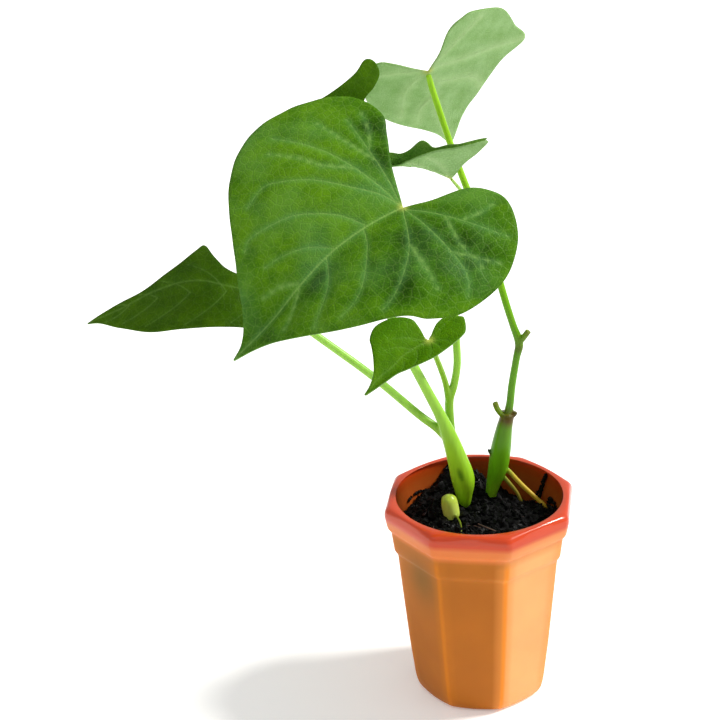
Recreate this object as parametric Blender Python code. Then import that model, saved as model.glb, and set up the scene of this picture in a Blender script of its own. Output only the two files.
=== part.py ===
"""Sweet potato vine, two rooted cuttings with six leaves, in a small eight-sided pot.

The origin is the middle of the pot's foot, +Z is up and the seen side of the pot faces -Y.
Every size below is in millimetres and is turned into metres where a mesh is made.
"""

import math

import bmesh
import bpy
import numpy as np
from mathutils import geometry

MM = 0.001

# Pot: an eight-sided cup with a round mouth, turned a little about its own axis.
# The arc end is the angle from a corner at which its rounding meets the flat side
POT_TURN = -9.8
POT_CORNER_ROUNDING = 3.5
POT_ARC_END = 2.44
POT_FOOT_RADIUS = 19.0
POT_FLOOR_TOP = 2.3
# Where a fully rounded ring lies between the flat sides (0) and the corners (1)
POT_ROUND_SHARE = 0.35
# Outside profile, foot to lip: radius at the corners, height, and how round the eight sides are
POT_OUTSIDE = (
    (21.4, 0.6, 0.55),
    (22.3, 2.4, 0.3),
    (22.9, 5.4, 0.1),
    (24.6, 19.7, 0.0),
    (26.6, 40.5, 0.0),
    (27.6, 51.6, 0.0),
    (28.7, 53.2, 0.0),
    (29.6, 60.2, 0.0),
    (30.7, 61.4, 0.0),
    (31.5, 65.0, 0.0),
    (31.7, 66.4, 0.0),
    (31.4, 67.9, 0.0),
    (30.9, 68.8, 0.35),
    (30.1, 69.2, 0.7),
)
# Round inside, lip to floor: height and radius, about a millimetre inside the flats
POT_INSIDE = (
    (69.2, 28.1),
    (68.7, 27.6),
    (67.4, 27.4),
    (61.2, 26.4),
    (53.2, 24.9),
    (50.5, 24.2),
    (40.5, 23.4),
    (19.7, 21.5),
    (5.6, 19.9),
    (3.0, 19.2),
    (2.4, 18.0),
)

# Soil: a heap that climbs towards the back left, held off the pot wall by a small gap
SOIL_WALL_GAP = 0.7
SOIL_HEIGHTS = (3.6, 19.7, 40.5, 50.5, 53.2)
SOIL_EDGE = 56.0
SOIL_LEVEL = 59.5
SOIL_RINGS = 11
SOIL_SPOKES = 36
# Height, place and spread of each swell or hollow in the soil
SOIL_SWELLS = (
    (7.5, (-4.5, 22.0), 6.5),
    (-3.4, (16.0, 19.0), 7.0),
    (1.2, (-9.0, 2.0), 5.0),
    (1.6, (6.0, 6.0), 8.0),
    (-1.5, (20.0, -14.0), 9.0),
)
SOIL_CRUMB = 0.45
# The holes for the stems and roots: extra radius, and where they leave the soil
HOLE_SLACK = 0.65
HOLE_TOP = 68.0

# Stems: rows of x, y, z and radius along each run, read off the plant at its joints and bends
LEFT_MAIN = (
    (-3.9, 11.5, 46.0, 1.9),
    (-3.9, 11.0, 54.0, 1.9),
    (-4.1, 9.7, 59.9, 2.0),
    (-4.3, 8.5, 64.5, 2.7),
    (-4.6, 7.5, 70.9, 3.8),
    (-6.4, 6.5, 78.7, 3.3),
    (-8.8, 5.5, 87.2, 2.6),
    (-11.4, 5.0, 94.6, 1.9),
    (-14.8, 4.0, 102.5, 1.65),
    (-19.4, 2.0, 113.2, 1.5),
    (-23.5, 2.0, 122.2, 1.45),
    (-26.8, 3.0, 132.7, 1.4),
    (-28.3, 3.0, 145.9, 1.35),
    (-26.6, -1.0, 158.5, 1.35),
    (-23.0, -5.0, 167.2, 1.3),
)
LEFT_PETIOLE = (
    (-8.5, 6.0, 85.0, 1.5),
    (-12.7, 7.0, 89.8, 1.4),
    (-18.6, 8.0, 94.6, 1.35),
    (-33.1, 9.0, 108.4, 1.3),
    (-50.8, 11.0, 122.7, 1.25),
    (-61.3, 11.6, 131.8, 1.1),
)
REAR_SHOOT = (
    (-6.6, 8.0, 78.0, 1.7),
    (-7.8, 9.5, 85.2, 1.5),
    (-8.3, 10.0, 91.0, 1.4),
    (-8.4, 10.0, 98.1, 1.45),
    (-6.9, 9.5, 103.5, 1.3),
    (-5.8, 9.0, 110.6, 1.25),
    (-5.9, 9.2, 118.2, 1.25),
    (-6.5, 12.0, 129.9, 1.2),
    (-10.0, 18.0, 141.2, 1.15),
    (-17.1, 26.0, 149.6, 1.15),
    (-25.5, 30.8, 158.5, 1.1),
    (-32.7, 33.3, 168.4, 1.0),
    (-35.6, 33.4, 173.6, 0.9),
)
HEART_PETIOLE = (
    (-8.4, 10.0, 96.5, 1.2),
    (-9.5, 8.0, 104.3, 1.0),
    (-11.1, 5.0, 110.9, 0.95),
    (-12.8, 1.0, 117.1, 0.9),
    (-14.7, -5.5, 124.8, 0.85),
)
RIGHT_MAIN = (
    (4.4, 15.0, 46.0, 1.9),
    (4.7, 14.6, 54.0, 1.9),
    (4.7, 14.0, 59.7, 1.7),
    (5.6, 13.5, 65.1, 2.3),
    (7.2, 13.0, 71.9, 3.2),
    (8.2, 12.5, 79.0, 3.3),
    (9.2, 12.5, 85.5, 2.7),
    (10.0, 12.5, 89.3, 2.35),
    (10.4, 12.5, 91.6, 2.5),
)
RIGHT_SHOOT = (
    (10.2, 12.5, 89.5, 1.6),
    (11.2, 12.5, 95.0, 1.3),
    (11.9, 13.0, 101.1, 1.25),
    (13.4, 13.5, 110.2, 1.2),
    (14.3, 14.0, 115.2, 1.4),
    (12.5, 15.0, 121.0, 1.2),
    (10.2, 17.0, 128.8, 1.2),
    (7.2, 21.5, 140.1, 1.2),
    (3.3, 27.0, 152.4, 1.25),
    (-0.2, 31.0, 161.1, 1.15),
    (-4.2, 36.0, 172.2, 1.1),
    (-8.0, 39.3, 184.2, 1.1),
    (-10.4, 39.7, 192.4, 1.05),
    (-11.1, 39.5, 194.7, 0.95),
)
MID_PETIOLE = (
    (1.4, 29.0, 157.5, 0.8),
    (1.0, 26.0, 159.0, 0.7),
    (-1.4, 21.0, 162.5, 0.6),
    (-3.9, 15.0, 167.1, 0.6),
    (-5.8, 10.8, 170.6, 0.6),
)
LOWER_STUB = (
    (9.6, 12.2, 89.8, 1.0),
    (7.2, 11.0, 93.4, 0.95),
    (6.2, 10.5, 96.2, 1.0),
)
UPPER_STUB = (
    (14.0, 14.0, 115.0, 1.1),
    (15.8, 13.5, 117.4, 1.0),
    (17.2, 13.0, 119.6, 0.95),
)
UPPER_ROOT = (
    (8.0, 12.5, 72.6, 1.0),
    (10.5, 12.4, 70.8, 0.8),
    (14.7, 11.0, 66.2, 0.8),
    (19.6, 9.0, 61.7, 0.75),
    (21.8, 7.5, 60.0, 0.7),
    (22.9, 6.5, 56.5, 0.65),
)
LOWER_ROOT = (
    (7.0, 13.4, 69.8, 0.9),
    (8.9, 13.4, 68.2, 0.75),
    (12.7, 12.5, 63.5, 0.65),
    (14.2, 12.0, 60.6, 0.6),
    (15.6, 11.8, 56.5, 0.6),
)
PALE_SHOOT = (
    (-8.6, 2.6, 47.0, 1.6),
    (-8.6, 2.4, 56.0, 2.0),
    (-8.7, 2.3, 60.2, 2.6),
    (-9.3, 2.5, 64.2, 2.7),
    (-9.7, 2.9, 67.4, 2.15),
)
STEM_SIDES = 10
STEM_STEPS = 2
# A stem's rounded end, in shares of its radius: last ring, depth of the shoulder, height of the cap
END_RADIUS = 0.72
END_SHOULDER = 0.4
END_CAP = 0.12

# Leaves. Each half outline runs from the petiole joint to the tip as (along, across), laid flat
LEAF_THICKNESS = 0.8
MIDRIB_SHARE = 0.01
MIDRIB_WIDTH = 1.3
OUTLINE_STEPS = 2
# Points between the outline and the midrib: their spacing as a share of the blade's length,
# its least and greatest value, and how much of it is kept clear of the outline and the midrib
GRID_SHARE = 0.085
GRID_LIMITS = (2.4, 5.2)
GRID_CLEARANCE = 0.55
# Parts in which a bend is summed, and the small step that gives the blade's slope
BEND_PARTS = 24
SLOPE_STEP = 0.05

LEAVES = {
    "leaf_big": {
        "base": (-21.9, -8.0, 169.4),
        "aim": (-150.0, -20.0, -32.0),
        "length": 69.0,
        "half_width": 45.0,
        "droop": 40.0,
        "left": {"fold": 32.0, "bow": -70.0},
        "right": {"fold": 8.0, "bow": -20.0},
        "left_outline": (
            (-8, 5),
            (-16, 8),
            (-21, 13),
            (-23, 21),
            (-18, 32),
            (-7, 40),
            (8, 41.2),
            (17.5, 36.6),
            (23, 30.9),
            (38, 22),
            (57, 7),
        ),
        "right_outline": (
            (-6, 13),
            (-12, 23),
            (-16, 31),
            (-13, 43),
            (-1, 51),
            (18, 53),
            (34, 43),
            (48, 21),
            (57, 7),
            (63, 1.5),
        ),
    },
    "leaf_left": {
        "base": (-66.1, 12.0, 136.2),
        "aim": (-165.7, 16.4, -40.2),
        "length": 56.5,
        "half_width": 26.0,
        "droop": 43.5,
        "sweep": 15.3,
        "left": {"fold": 4.2, "bow": -53.0},
        "right": {"fold": 20.7, "bow": -58.0},
        "left_outline": (
            (-5, 4),
            (-8, 9),
            (-3, 12),
            (6, 12),
            (15.5, 12),
            (25, 11.8),
            (35.5, 10.8),
            (45, 6.5),
            (52, 2),
        ),
        "right_outline": (
            (-5, 4),
            (-7, 9),
            (-2, 9.5),
            (5, 5.5),
            (11.3, 7.5),
            (15.2, 12),
            (18, 17),
            (20.7, 15),
            (25, 11),
            (30, 7.5),
            (37, 3.5),
            (47, 1.5),
        ),
    },
    "leaf_small": {
        "base": (-15.2, -8.0, 126.7),
        "aim": (-140.5, -24.7, -49.8),
        "length": 26.5,
        "half_width": 14.0,
        "droop": 26.6,
        "sweep": -5.7,
        "left": {"fold": 48.3, "bow": -23.0},
        "right": {"fold": 31.8, "bow": -71.0},
        "left_outline": (
            (-1.5, -0.4),
            (-3.6, -1.5),
            (-5.7, -2.1),
            (-8.3, -1.9),
            (-10.8, -0.7),
            (-12.6, 1.8),
            (-12.4, 3.7),
            (-9.3, 7),
            (-6.8, 7.7),
            (-2.7, 7.5),
            (4.5, 5.9),
            (11.5, 2.9),
            (15, 1.2),
            (20, 0.7),
        ),
        "right_outline": (
            (0.7, 1.4),
            (0.4, 3.7),
            (0, 6.1),
            (-0.1, 8.4),
            (1.5, 11.2),
            (3.9, 13.5),
            (6.9, 15.2),
            (9.8, 15.5),
            (13.3, 13.2),
            (14.8, 10.6),
            (17.1, 7.1),
            (20, 3.6),
            (23.5, 1.2),
        ),
    },
    "leaf_top": {
        "base": (-11.5, 40.6, 197.7),
        "aim": (74.0, -44.0, -11.0),
        "length": 42.0,
        "half_width": 26.0,
        "droop": 10.0,
        "left": {"fold": 5.0, "bow": -20.0},
        "right": {"fold": 40.0, "bow": -10.0},
        "left_outline": (
            (-3, 5),
            (-6, 9),
            (-9, 13.5),
            (-7, 18.5),
            (0, 21),
            (10, 22),
            (20, 20),
            (28, 14),
            (32, 8),
            (36, 3.5),
        ),
        "right_outline": (
            (-3, 5),
            (-11, 11.5),
            (-12, 16.5),
            (-11, 21),
            (-3, 30),
            (9, 33),
            (17, 35),
            (21, 24.5),
            (27, 16),
            (32, 8),
        ),
    },
    "leaf_back": {
        "base": (-36.2, 30.5, 176.0),
        "aim": (177.0, -7.0, -79.0),
        "length": 37.0,
        "half_width": 26.0,
        "droop": 20.0,
        "left": {"fold": 5.0, "bow": -20.0},
        "right": {"fold": 5.0, "bow": -10.0},
        "left_outline": (
            (-5, 5),
            (-10, 11),
            (-11, 17),
            (-7, 21),
            (2, 20),
            (12, 15),
            (22, 10),
            (30, 5),
        ),
        "right_outline": (
            (-4, 7),
            (-6, 14.5),
            (-9.5, 18),
            (-12, 22),
            (-11, 26),
            (-8, 27),
            (-4, 23),
            (5, 18),
            (18, 13),
            (29, 5),
        ),
    },
    "leaf_mid": {
        "base": (-6.6, 10.0, 172.0),
        "aim": (168.0, 30.0, -20.6),
        "length": 32.0,
        "half_width": 18.0,
        "droop": 66.0,
        "sweep": 13.8,
        "left": {"fold": 73.2, "fold_growth": -69.0, "bow": 36.0},
        "right": {"fold": 65.0, "fold_growth": 20.3, "bow": -12.7},
        "left_outline": (
            (-0.4, 2.8),
            (-0.7, 6.8),
            (-1.3, 9.7),
            (-2.1, 12),
            (-3, 14.8),
            (-3.6, 18),
            (-0.5, 16.4),
            (2.8, 13.2),
            (6.4, 11.1),
            (10.6, 7.5),
            (13.5, 4.7),
            (16, 2),
            (20, 0.9),
            (27, 0.7),
        ),
        "right_outline": (
            (-0.3, 3),
            (-1, 8),
            (-2.2, 13),
            (-3.6, 16),
            (-0.4, 13.5),
            (2.2, 10.5),
            (4.3, 9.1),
            (7.4, 6.7),
            (9.5, 7.8),
            (11.1, 7.9),
            (13.7, 4.7),
            (16.2, 3.4),
            (18.8, 4),
            (22.5, 4),
            (27, 2.3),
        ),
    },
}


def clear_scene():
    for item in list(bpy.data.objects):
        bpy.data.objects.remove(item, do_unlink=True)


def plain_material(name, color, roughness):
    material = bpy.data.materials.new(name)
    material.use_nodes = True
    shader = material.node_tree.nodes["Principled BSDF"]
    shader.inputs["Base Color"].default_value = (*color, 1.0)
    shader.inputs["Roughness"].default_value = roughness
    shader.inputs["Metallic"].default_value = 0.0
    return material


def mesh_object(name, points, faces, material=None, smooth=60.0):
    """A closed mesh from points in millimetres, with its faces turned outwards."""
    mesh = bpy.data.meshes.new(name)
    mesh.from_pydata([tuple(float(c) * MM for c in p) for p in points], [], faces)
    shape = bmesh.new()
    shape.from_mesh(mesh)
    bmesh.ops.recalc_face_normals(shape, faces=shape.faces)
    shape.to_mesh(mesh)
    shape.free()
    mesh.shade_smooth()
    mesh.set_sharp_from_angle(angle=math.radians(smooth))
    item = bpy.data.objects.new(name, mesh)
    bpy.context.scene.collection.objects.link(item)
    if material:
        mesh.materials.append(material)
    return item


def joined_rings(rings, start, end):
    """Faces that skin equal rings in order and close both ends with a fan to a middle point.

    The points are the two middle points, start and end, and then the rings.
    """
    count = len(rings[0])
    points = [start, end] + [p for ring in rings for p in ring]
    faces = []
    last = 2 + (len(rings) - 1) * count
    for i in range(count):
        j = (i + 1) % count
        faces.append((0, 2 + j, 2 + i))
        faces.append((1, last + i, last + j))
        for k in range(len(rings) - 1):
            a = 2 + k * count
            b = a + count
            faces.append((a + i, a + j, b + j, b + i))
    return points, faces


def ring_angles():
    """Each side's middle, then the start, middle and end of the rounded corner after it."""
    angles = []
    for side in range(8):
        corner = 45.0 * side + 22.5
        angles += [(45.0 * side, 22.5), (corner - POT_ARC_END, POT_ARC_END)]
        angles += [(corner, 0.0), (corner + POT_ARC_END, POT_ARC_END)]
    return angles


def turned_point(radius, angle, height):
    turned = math.radians(angle - 90.0 + POT_TURN)
    return (radius * math.cos(turned), radius * math.sin(turned), height)


def eight_sided_ring(corner_radius, height, roundness):
    """A ring round an octagon with rounded corners, blended towards a circle."""
    half_side = math.radians(22.5)
    flat = corner_radius * math.cos(half_side)
    arc = POT_CORNER_ROUNDING
    arc_middle = (flat - arc) / math.cos(half_side)
    circle = flat + POT_ROUND_SHARE * (corner_radius - flat)
    ring = []
    for angle, off_corner in ring_angles():
        off = math.radians(off_corner)
        if off_corner <= POT_ARC_END:
            across = arc_middle * math.sin(off)
            radius = arc_middle * math.cos(off) + math.sqrt(arc**2 - across**2)
        else:
            radius = flat / math.cos(half_side - off)
        radius += (circle - radius) * roundness
        ring.append(turned_point(radius, angle, height))
    return ring


def round_ring(radius, height):
    """A round ring whose points line up with those of the eight-sided rings."""
    return [turned_point(radius, angle, height) for angle, _ in ring_angles()]


def inner_radius(height):
    """Radius of the pot's round inside at a height."""
    heights, radii = zip(*POT_INSIDE[::-1])
    return float(np.interp(height, heights, radii))


def make_pot(material):
    rings = [round_ring(POT_FOOT_RADIUS, 0.0)]
    rings += [eight_sided_ring(*row) for row in POT_OUTSIDE]
    rings += [round_ring(radius, height) for height, radius in POT_INSIDE]
    points, faces = joined_rings(rings, (0.0, 0.0, 0.0), (0.0, 0.0, POT_FLOOR_TOP))
    return mesh_object("pot", points, faces, material, smooth=24.0)


def soil_height(x, y):
    height = SOIL_LEVEL
    for rise, (cx, cy), spread in SOIL_SWELLS:
        height += rise * math.exp(-((x - cx) ** 2 + (y - cy) ** 2) / (2.0 * spread**2))
    crumb = math.sin(0.9 * x + 1.3) * math.sin(1.1 * y - 0.4)
    crumb += 0.7 * math.sin(1.7 * x - 0.8 * y) * math.sin(0.6 * x + 1.9 * y)
    return height + SOIL_CRUMB * crumb


def make_soil(material):
    rings = [(inner_radius(h) - SOIL_WALL_GAP, h) for h in SOIL_HEIGHTS]
    lower = []
    for radius, height in rings:
        ring = []
        for i in range(SOIL_SPOKES):
            angle = 2.0 * math.pi * i / SOIL_SPOKES
            ring.append((radius * math.cos(angle), radius * math.sin(angle), height))
        lower.append(ring)
    upper = []
    for k in range(SOIL_RINGS, 0, -1):
        ring = []
        for i in range(SOIL_SPOKES):
            angle = 2.0 * math.pi * (i + 0.5 * (k % 2)) / SOIL_SPOKES
            radius = (inner_radius(SOIL_EDGE) - SOIL_WALL_GAP) * k / SOIL_RINGS
            x = radius * math.cos(angle)
            y = radius * math.sin(angle)
            ring.append((x, y, soil_height(x, y)))
        upper.append(ring)
    start = (0.0, 0.0, SOIL_HEIGHTS[0])
    end = (0.0, 0.0, soil_height(0.0, 0.0))
    points, faces = joined_rings(lower + upper, start, end)
    soil = mesh_object("soil", points, faces, material, smooth=50.0)
    triangulate(soil)
    runs = (LEFT_MAIN, RIGHT_MAIN, PALE_SHOOT, UPPER_ROOT[:2:-1], LOWER_ROOT[:1:-1])
    cutters = []
    for i, run in enumerate(runs):
        rows = [(x, y, z, r + HOLE_SLACK) for x, y, z, r in run if z < HOLE_TOP]
        x, y, _, r = rows[0]
        rows[0] = (x, y, min(rows[0][2] - 1.0, rows[1][2] - 4.0), r)
        x, y, z, r = rows[-1]
        rows.append((x, y, max(z, HOLE_TOP) + 3.0, r + 0.5))
        cutters.append(tube("hole_%d" % i, rows, None, steps=1))
    cut_with(soil, cutters)
    return soil


def catmull_rom(rows, steps):
    """Points of a smooth curve through every row, with the given steps in each span."""
    rows = np.asarray(rows, float)
    padded = np.vstack([2 * rows[0] - rows[1], rows, 2 * rows[-1] - rows[-2]])
    t = (np.arange(steps) / steps)[:, None]
    curve = []
    for i in range(1, len(padded) - 2):
        a, b, c, d = padded[i - 1 : i + 3]
        span = (2 * b) + (c - a) * t
        span = span + (2 * a - 5 * b + 4 * c - d) * t**2 + (3 * b - a - 3 * c + d) * t**3
        curve.append(0.5 * span)
    curve.append(rows[-1:])
    return np.vstack(curve)


def tube(name, rows, material, steps=STEM_STEPS, sides=STEM_SIDES):
    """A round stem along rows of x, y, z and radius, with its two ends rounded off."""
    curve = catmull_rom(rows, steps)
    centres = curve[:, :3]
    radii = curve[:, 3]
    tangents = np.gradient(centres, axis=0)
    tangents /= np.linalg.norm(tangents, axis=1)[:, None]
    across = np.cross(tangents[0], (1.0, 0.0, 0.0))
    rings = []
    angles = 2 * np.pi * np.arange(sides) / sides
    ends = (0, len(centres) - 1)
    for i, (centre, radius, along) in enumerate(zip(centres, radii, tangents)):
        across = across - along * (across @ along)
        across /= np.linalg.norm(across)
        other = np.cross(along, across)
        circle = np.cos(angles)[:, None] * across + np.sin(angles)[:, None] * other
        scale = END_RADIUS if i in ends else 1.0
        rings.append([tuple(p) for p in centre + circle * radius * scale])
        shoulder = along * radius * END_SHOULDER
        if i == ends[0]:
            rings.append([tuple(p) for p in centre + shoulder + circle * radius])
        if i == ends[1]:
            rings.insert(-1, [tuple(p) for p in centre - shoulder + circle * radius])
    start = tuple(centres[0] - tangents[0] * radii[0] * END_CAP)
    end = tuple(centres[-1] + tangents[-1] * radii[-1] * END_CAP)
    points, faces = joined_rings(rings, start, end)
    return mesh_object(name, points, faces, material)


def triangulate(item):
    shape = bmesh.new()
    shape.from_mesh(item.data)
    bmesh.ops.triangulate(shape, faces=shape.faces)
    shape.to_mesh(item.data)
    shape.free()


def apply_boolean(item, operation, others):
    """One Boolean over a collection of the other shapes, applied, with those shapes then removed."""
    group = bpy.data.collections.new(item.name + "_others")
    bpy.context.scene.collection.children.link(group)
    for other in others:
        bpy.context.scene.collection.objects.unlink(other)
        group.objects.link(other)
    modifier = item.modifiers.new(operation.lower(), "BOOLEAN")
    modifier.operation = operation
    modifier.operand_type = "COLLECTION"
    modifier.collection = group
    modifier.solver = "EXACT"
    bpy.context.view_layer.update()
    graph = bpy.context.evaluated_depsgraph_get()
    made = bpy.data.meshes.new_from_object(item.evaluated_get(graph))
    item.modifiers.clear()
    item.data = made
    for other in others:
        bpy.data.objects.remove(other, do_unlink=True)
    bpy.data.collections.remove(group)


def cut_with(item, cutters):
    apply_boolean(item, "DIFFERENCE", cutters)


def fuse(item, others):
    apply_boolean(item, "UNION", others)


def make_stems(left_green, right_green, pale_green):
    left = tube("stem_left", LEFT_MAIN, left_green)
    branches = (LEFT_PETIOLE, REAR_SHOOT, HEART_PETIOLE)
    fuse(left, [tube("branch_%d" % i, run, left_green) for i, run in enumerate(branches)])
    right = tube("stem_right", RIGHT_MAIN, right_green)
    branches = (RIGHT_SHOOT, LOWER_STUB, UPPER_STUB, MID_PETIOLE, UPPER_ROOT, LOWER_ROOT)
    fuse(right, [tube("branch_%d" % i, run, right_green) for i, run in enumerate(branches)])
    tube("shoot_pale", PALE_SHOOT, pale_green)


def leaf_axes(yaw, pitch, roll):
    """Unit vectors along the midrib, to the leaf's left and out of its upper face."""
    yaw, pitch, roll = (math.radians(a) for a in (yaw, pitch, roll))
    flat = math.cos(pitch)
    along = np.array([math.cos(yaw) * flat, math.sin(yaw) * flat, math.sin(pitch)])
    level = np.array([-math.sin(yaw), math.cos(yaw), 0.0])
    lifted = np.cross(along, level)
    left = level * math.cos(roll) + lifted * math.sin(roll)
    return along, left, np.cross(along, left)


def summed(length):
    """Mid-points and step of equal parts from zero to each length."""
    step = length[..., None] / BEND_PARTS
    return (np.arange(BEND_PARTS) + 0.5) * step, step


def leaf_surface(leaf, u, v):
    """Point of the bent blade for each place (u along the midrib, v to the left) of the flat one."""
    u = np.asarray(u, float)
    v = np.asarray(v, float)
    along, left, out = leaf_axes(*leaf["aim"])
    length = leaf["length"]
    place, step = summed(u)
    fall = -np.radians(leaf["droop"]) * np.clip(place, 0.0, None) / length
    turn = np.radians(leaf.get("sweep", 0.0)) * np.clip(place, 0.0, None) / length
    forward = (np.cos(fall) * np.cos(turn) * step).sum(-1)
    sideways = (np.sin(turn) * step).sum(-1)
    upward = (np.sin(fall) * np.cos(turn) * step).sum(-1)
    end_fall = -np.radians(leaf["droop"]) * np.clip(u, 0.0, None) / length
    normal = np.cos(end_fall)[..., None] * out - np.sin(end_fall)[..., None] * along
    place, step = summed(np.abs(v))
    reach = np.zeros_like(u)
    rise = np.zeros_like(u)
    for half, chosen in ((leaf["left"], v >= 0.0), (leaf["right"], v < 0.0)):
        angle = half["fold"] + half.get("fold_growth", 0.0) * u[..., None] / length
        angle = np.radians(angle + half["bow"] * place / leaf["half_width"])
        reach = np.where(chosen, (np.cos(angle) * step).sum(-1), reach)
        rise = np.where(chosen, (np.sin(angle) * step).sum(-1), rise)
    reach = np.where(v >= 0.0, reach, -reach)
    point = np.array(leaf["base"]) + forward[..., None] * along
    point = point + (sideways + reach)[..., None] * left + upward[..., None] * out
    return point + rise[..., None] * normal


def leaf_half(leaf, side):
    """One half of the flat outline, from the petiole joint to the tip."""
    rows = ((0.0, 0.0),) + leaf[side] + ((leaf["length"], 0.0),)
    return catmull_rom(rows, OUTLINE_STEPS)


def leaf_outline(leaf):
    """Flat outline from the petiole joint round the left half to the tip and back on the right."""
    right = leaf_half(leaf, "right_outline") * np.array([1.0, -1.0])
    return np.vstack([leaf_half(leaf, "left_outline"), right[-2:0:-1]])


def inside(outline, point):
    """Whether a flat point lies inside a closed outline."""
    x, y = point
    crossings = 0
    for (ax, ay), (bx, by) in zip(outline, np.roll(outline, -1, axis=0)):
        if (ay > y) != (by > y) and x < (bx - ax) * (y - ay) / (by - ay) + ax:
            crossings += 1
    return crossings % 2 == 1


def blade_layout(leaf):
    """Flat points and triangles of a blade, with edges along its outline and its midrib."""
    edge = leaf_outline(leaf)
    step = float(np.clip(GRID_SHARE * leaf["length"], *GRID_LIMITS))
    ribs = int(leaf["length"] / step)
    midrib = [(leaf["length"] * (i + 1) / (ribs + 1), 0.0) for i in range(ribs)]
    fixed = np.vstack([edge, 0.5 * (edge + np.roll(edge, -1, axis=0)), midrib])
    low = edge.min(axis=0)
    high = edge.max(axis=0)
    row_gap = step * math.sqrt(0.75)
    first = math.ceil(low[1] / row_gap)
    grid = []
    for k in range(first, int(high[1] / row_gap) + 1):
        for x in np.arange(low[0] + 0.5 * step * (k % 2), high[0], step):
            place = (x, k * row_gap)
            clear = np.linalg.norm(fixed - place, axis=1).min() > GRID_CLEARANCE * step
            if clear and inside(edge, place):
                grid.append(place)
    flat = [tuple(float(c) for c in p) for p in np.vstack([edge, midrib, grid])]
    count = len(edge)
    spine = [0] + list(range(count, count + ribs)) + [len(leaf_half(leaf, "left_outline")) - 1]
    made = geometry.delaunay_2d_cdt(flat, list(zip(spine, spine[1:])), [list(range(count))], 1, 1e-6)
    return np.array([tuple(p) for p in made[0]]), [tuple(f) for f in made[2]]


def rim_edges(faces):
    """Edges that only one triangle uses, in that triangle's order."""
    used = {(a, b) for face in faces for a, b in zip(face, face[1:] + face[:1])}
    return sorted(edge for edge in used if (edge[1], edge[0]) not in used)


def make_leaf(name, leaf, material):
    """The blade as a thin closed shell.

    Its upper face keeps to the bent surface and all its thickness is below, so that a blade
    folded upwards along its midrib doesn't cross itself there.
    """
    flat, faces = blade_layout(leaf)
    u, v = flat[:, 0], flat[:, 1]
    upper = leaf_surface(leaf, u, v)
    ahead = leaf_surface(leaf, u + SLOPE_STEP, v) - leaf_surface(leaf, u - SLOPE_STEP, v)
    aside = leaf_surface(leaf, u, v + SLOPE_STEP) - leaf_surface(leaf, u, v - SLOPE_STEP)
    normal = np.cross(ahead, aside)
    normal /= np.linalg.norm(normal, axis=1)[:, None]
    rib = MIDRIB_SHARE * np.clip(leaf["length"] - u, 0, leaf["length"])
    rib = rib * np.exp(-((v / MIDRIB_WIDTH) ** 2))
    lower = upper - normal * (LEAF_THICKNESS + rib)[:, None]
    total = len(flat)
    under = [tuple(total + c for c in reversed(f)) for f in faces]
    wall = []
    for a, b in rim_edges(faces):
        wall.append((b, a, total + a))
        wall.append((b, total + a, total + b))
    return mesh_object(name, np.vstack([upper, lower]), faces + under + wall, material)


def main():
    clear_scene()
    make_pot(plain_material("orange_plastic", (0.70, 0.18, 0.04), 0.35))
    make_soil(plain_material("potting_soil", (0.01, 0.009, 0.008), 0.95))
    left_green = plain_material("stem_pale_green", (0.35, 0.60, 0.10), 0.4)
    right_green = plain_material("stem_mid_green", (0.17, 0.36, 0.05), 0.4)
    pale_green = plain_material("stem_yellow_green", (0.55, 0.72, 0.18), 0.4)
    make_stems(left_green, right_green, pale_green)
    blade_green = plain_material("leaf_green", (0.08, 0.24, 0.02), 0.45)
    for name, leaf in LEAVES.items():
        make_leaf(name, leaf, blade_green)


main()
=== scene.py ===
"""A sweet potato vine in a small eight-sided pot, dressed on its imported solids.

Sizes in the tables are millimetres; meshes are made in metres, in the frame of the solids.
"""

import math

import bmesh
import bpy
import numpy as np
from mathutils import Matrix, Vector, geometry, noise


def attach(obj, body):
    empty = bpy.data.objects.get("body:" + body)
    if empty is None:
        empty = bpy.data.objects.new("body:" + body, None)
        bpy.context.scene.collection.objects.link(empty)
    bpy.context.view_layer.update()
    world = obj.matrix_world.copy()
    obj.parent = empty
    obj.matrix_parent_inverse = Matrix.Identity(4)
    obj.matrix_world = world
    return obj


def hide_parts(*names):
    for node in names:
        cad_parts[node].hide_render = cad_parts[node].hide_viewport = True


bl_info = {
    "name": "Potted Sweet Potato Vine",
    "version": (1, 0, 0),
    "blender": (4, 5, 0),
    "location": "View3D > Sidebar > Vine",
    "description": "Builds a sweet potato vine rooted in a small eight-sided pot of soil",
    "category": "Add Mesh",
}

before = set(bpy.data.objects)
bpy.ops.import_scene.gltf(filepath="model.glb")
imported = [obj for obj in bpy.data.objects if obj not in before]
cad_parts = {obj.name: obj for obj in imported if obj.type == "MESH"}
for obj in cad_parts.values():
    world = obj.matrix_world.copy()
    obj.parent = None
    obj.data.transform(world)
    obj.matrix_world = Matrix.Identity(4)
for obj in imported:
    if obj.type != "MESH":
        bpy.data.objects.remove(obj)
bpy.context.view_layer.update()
MM = 0.001
ROOT = "root"

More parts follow.
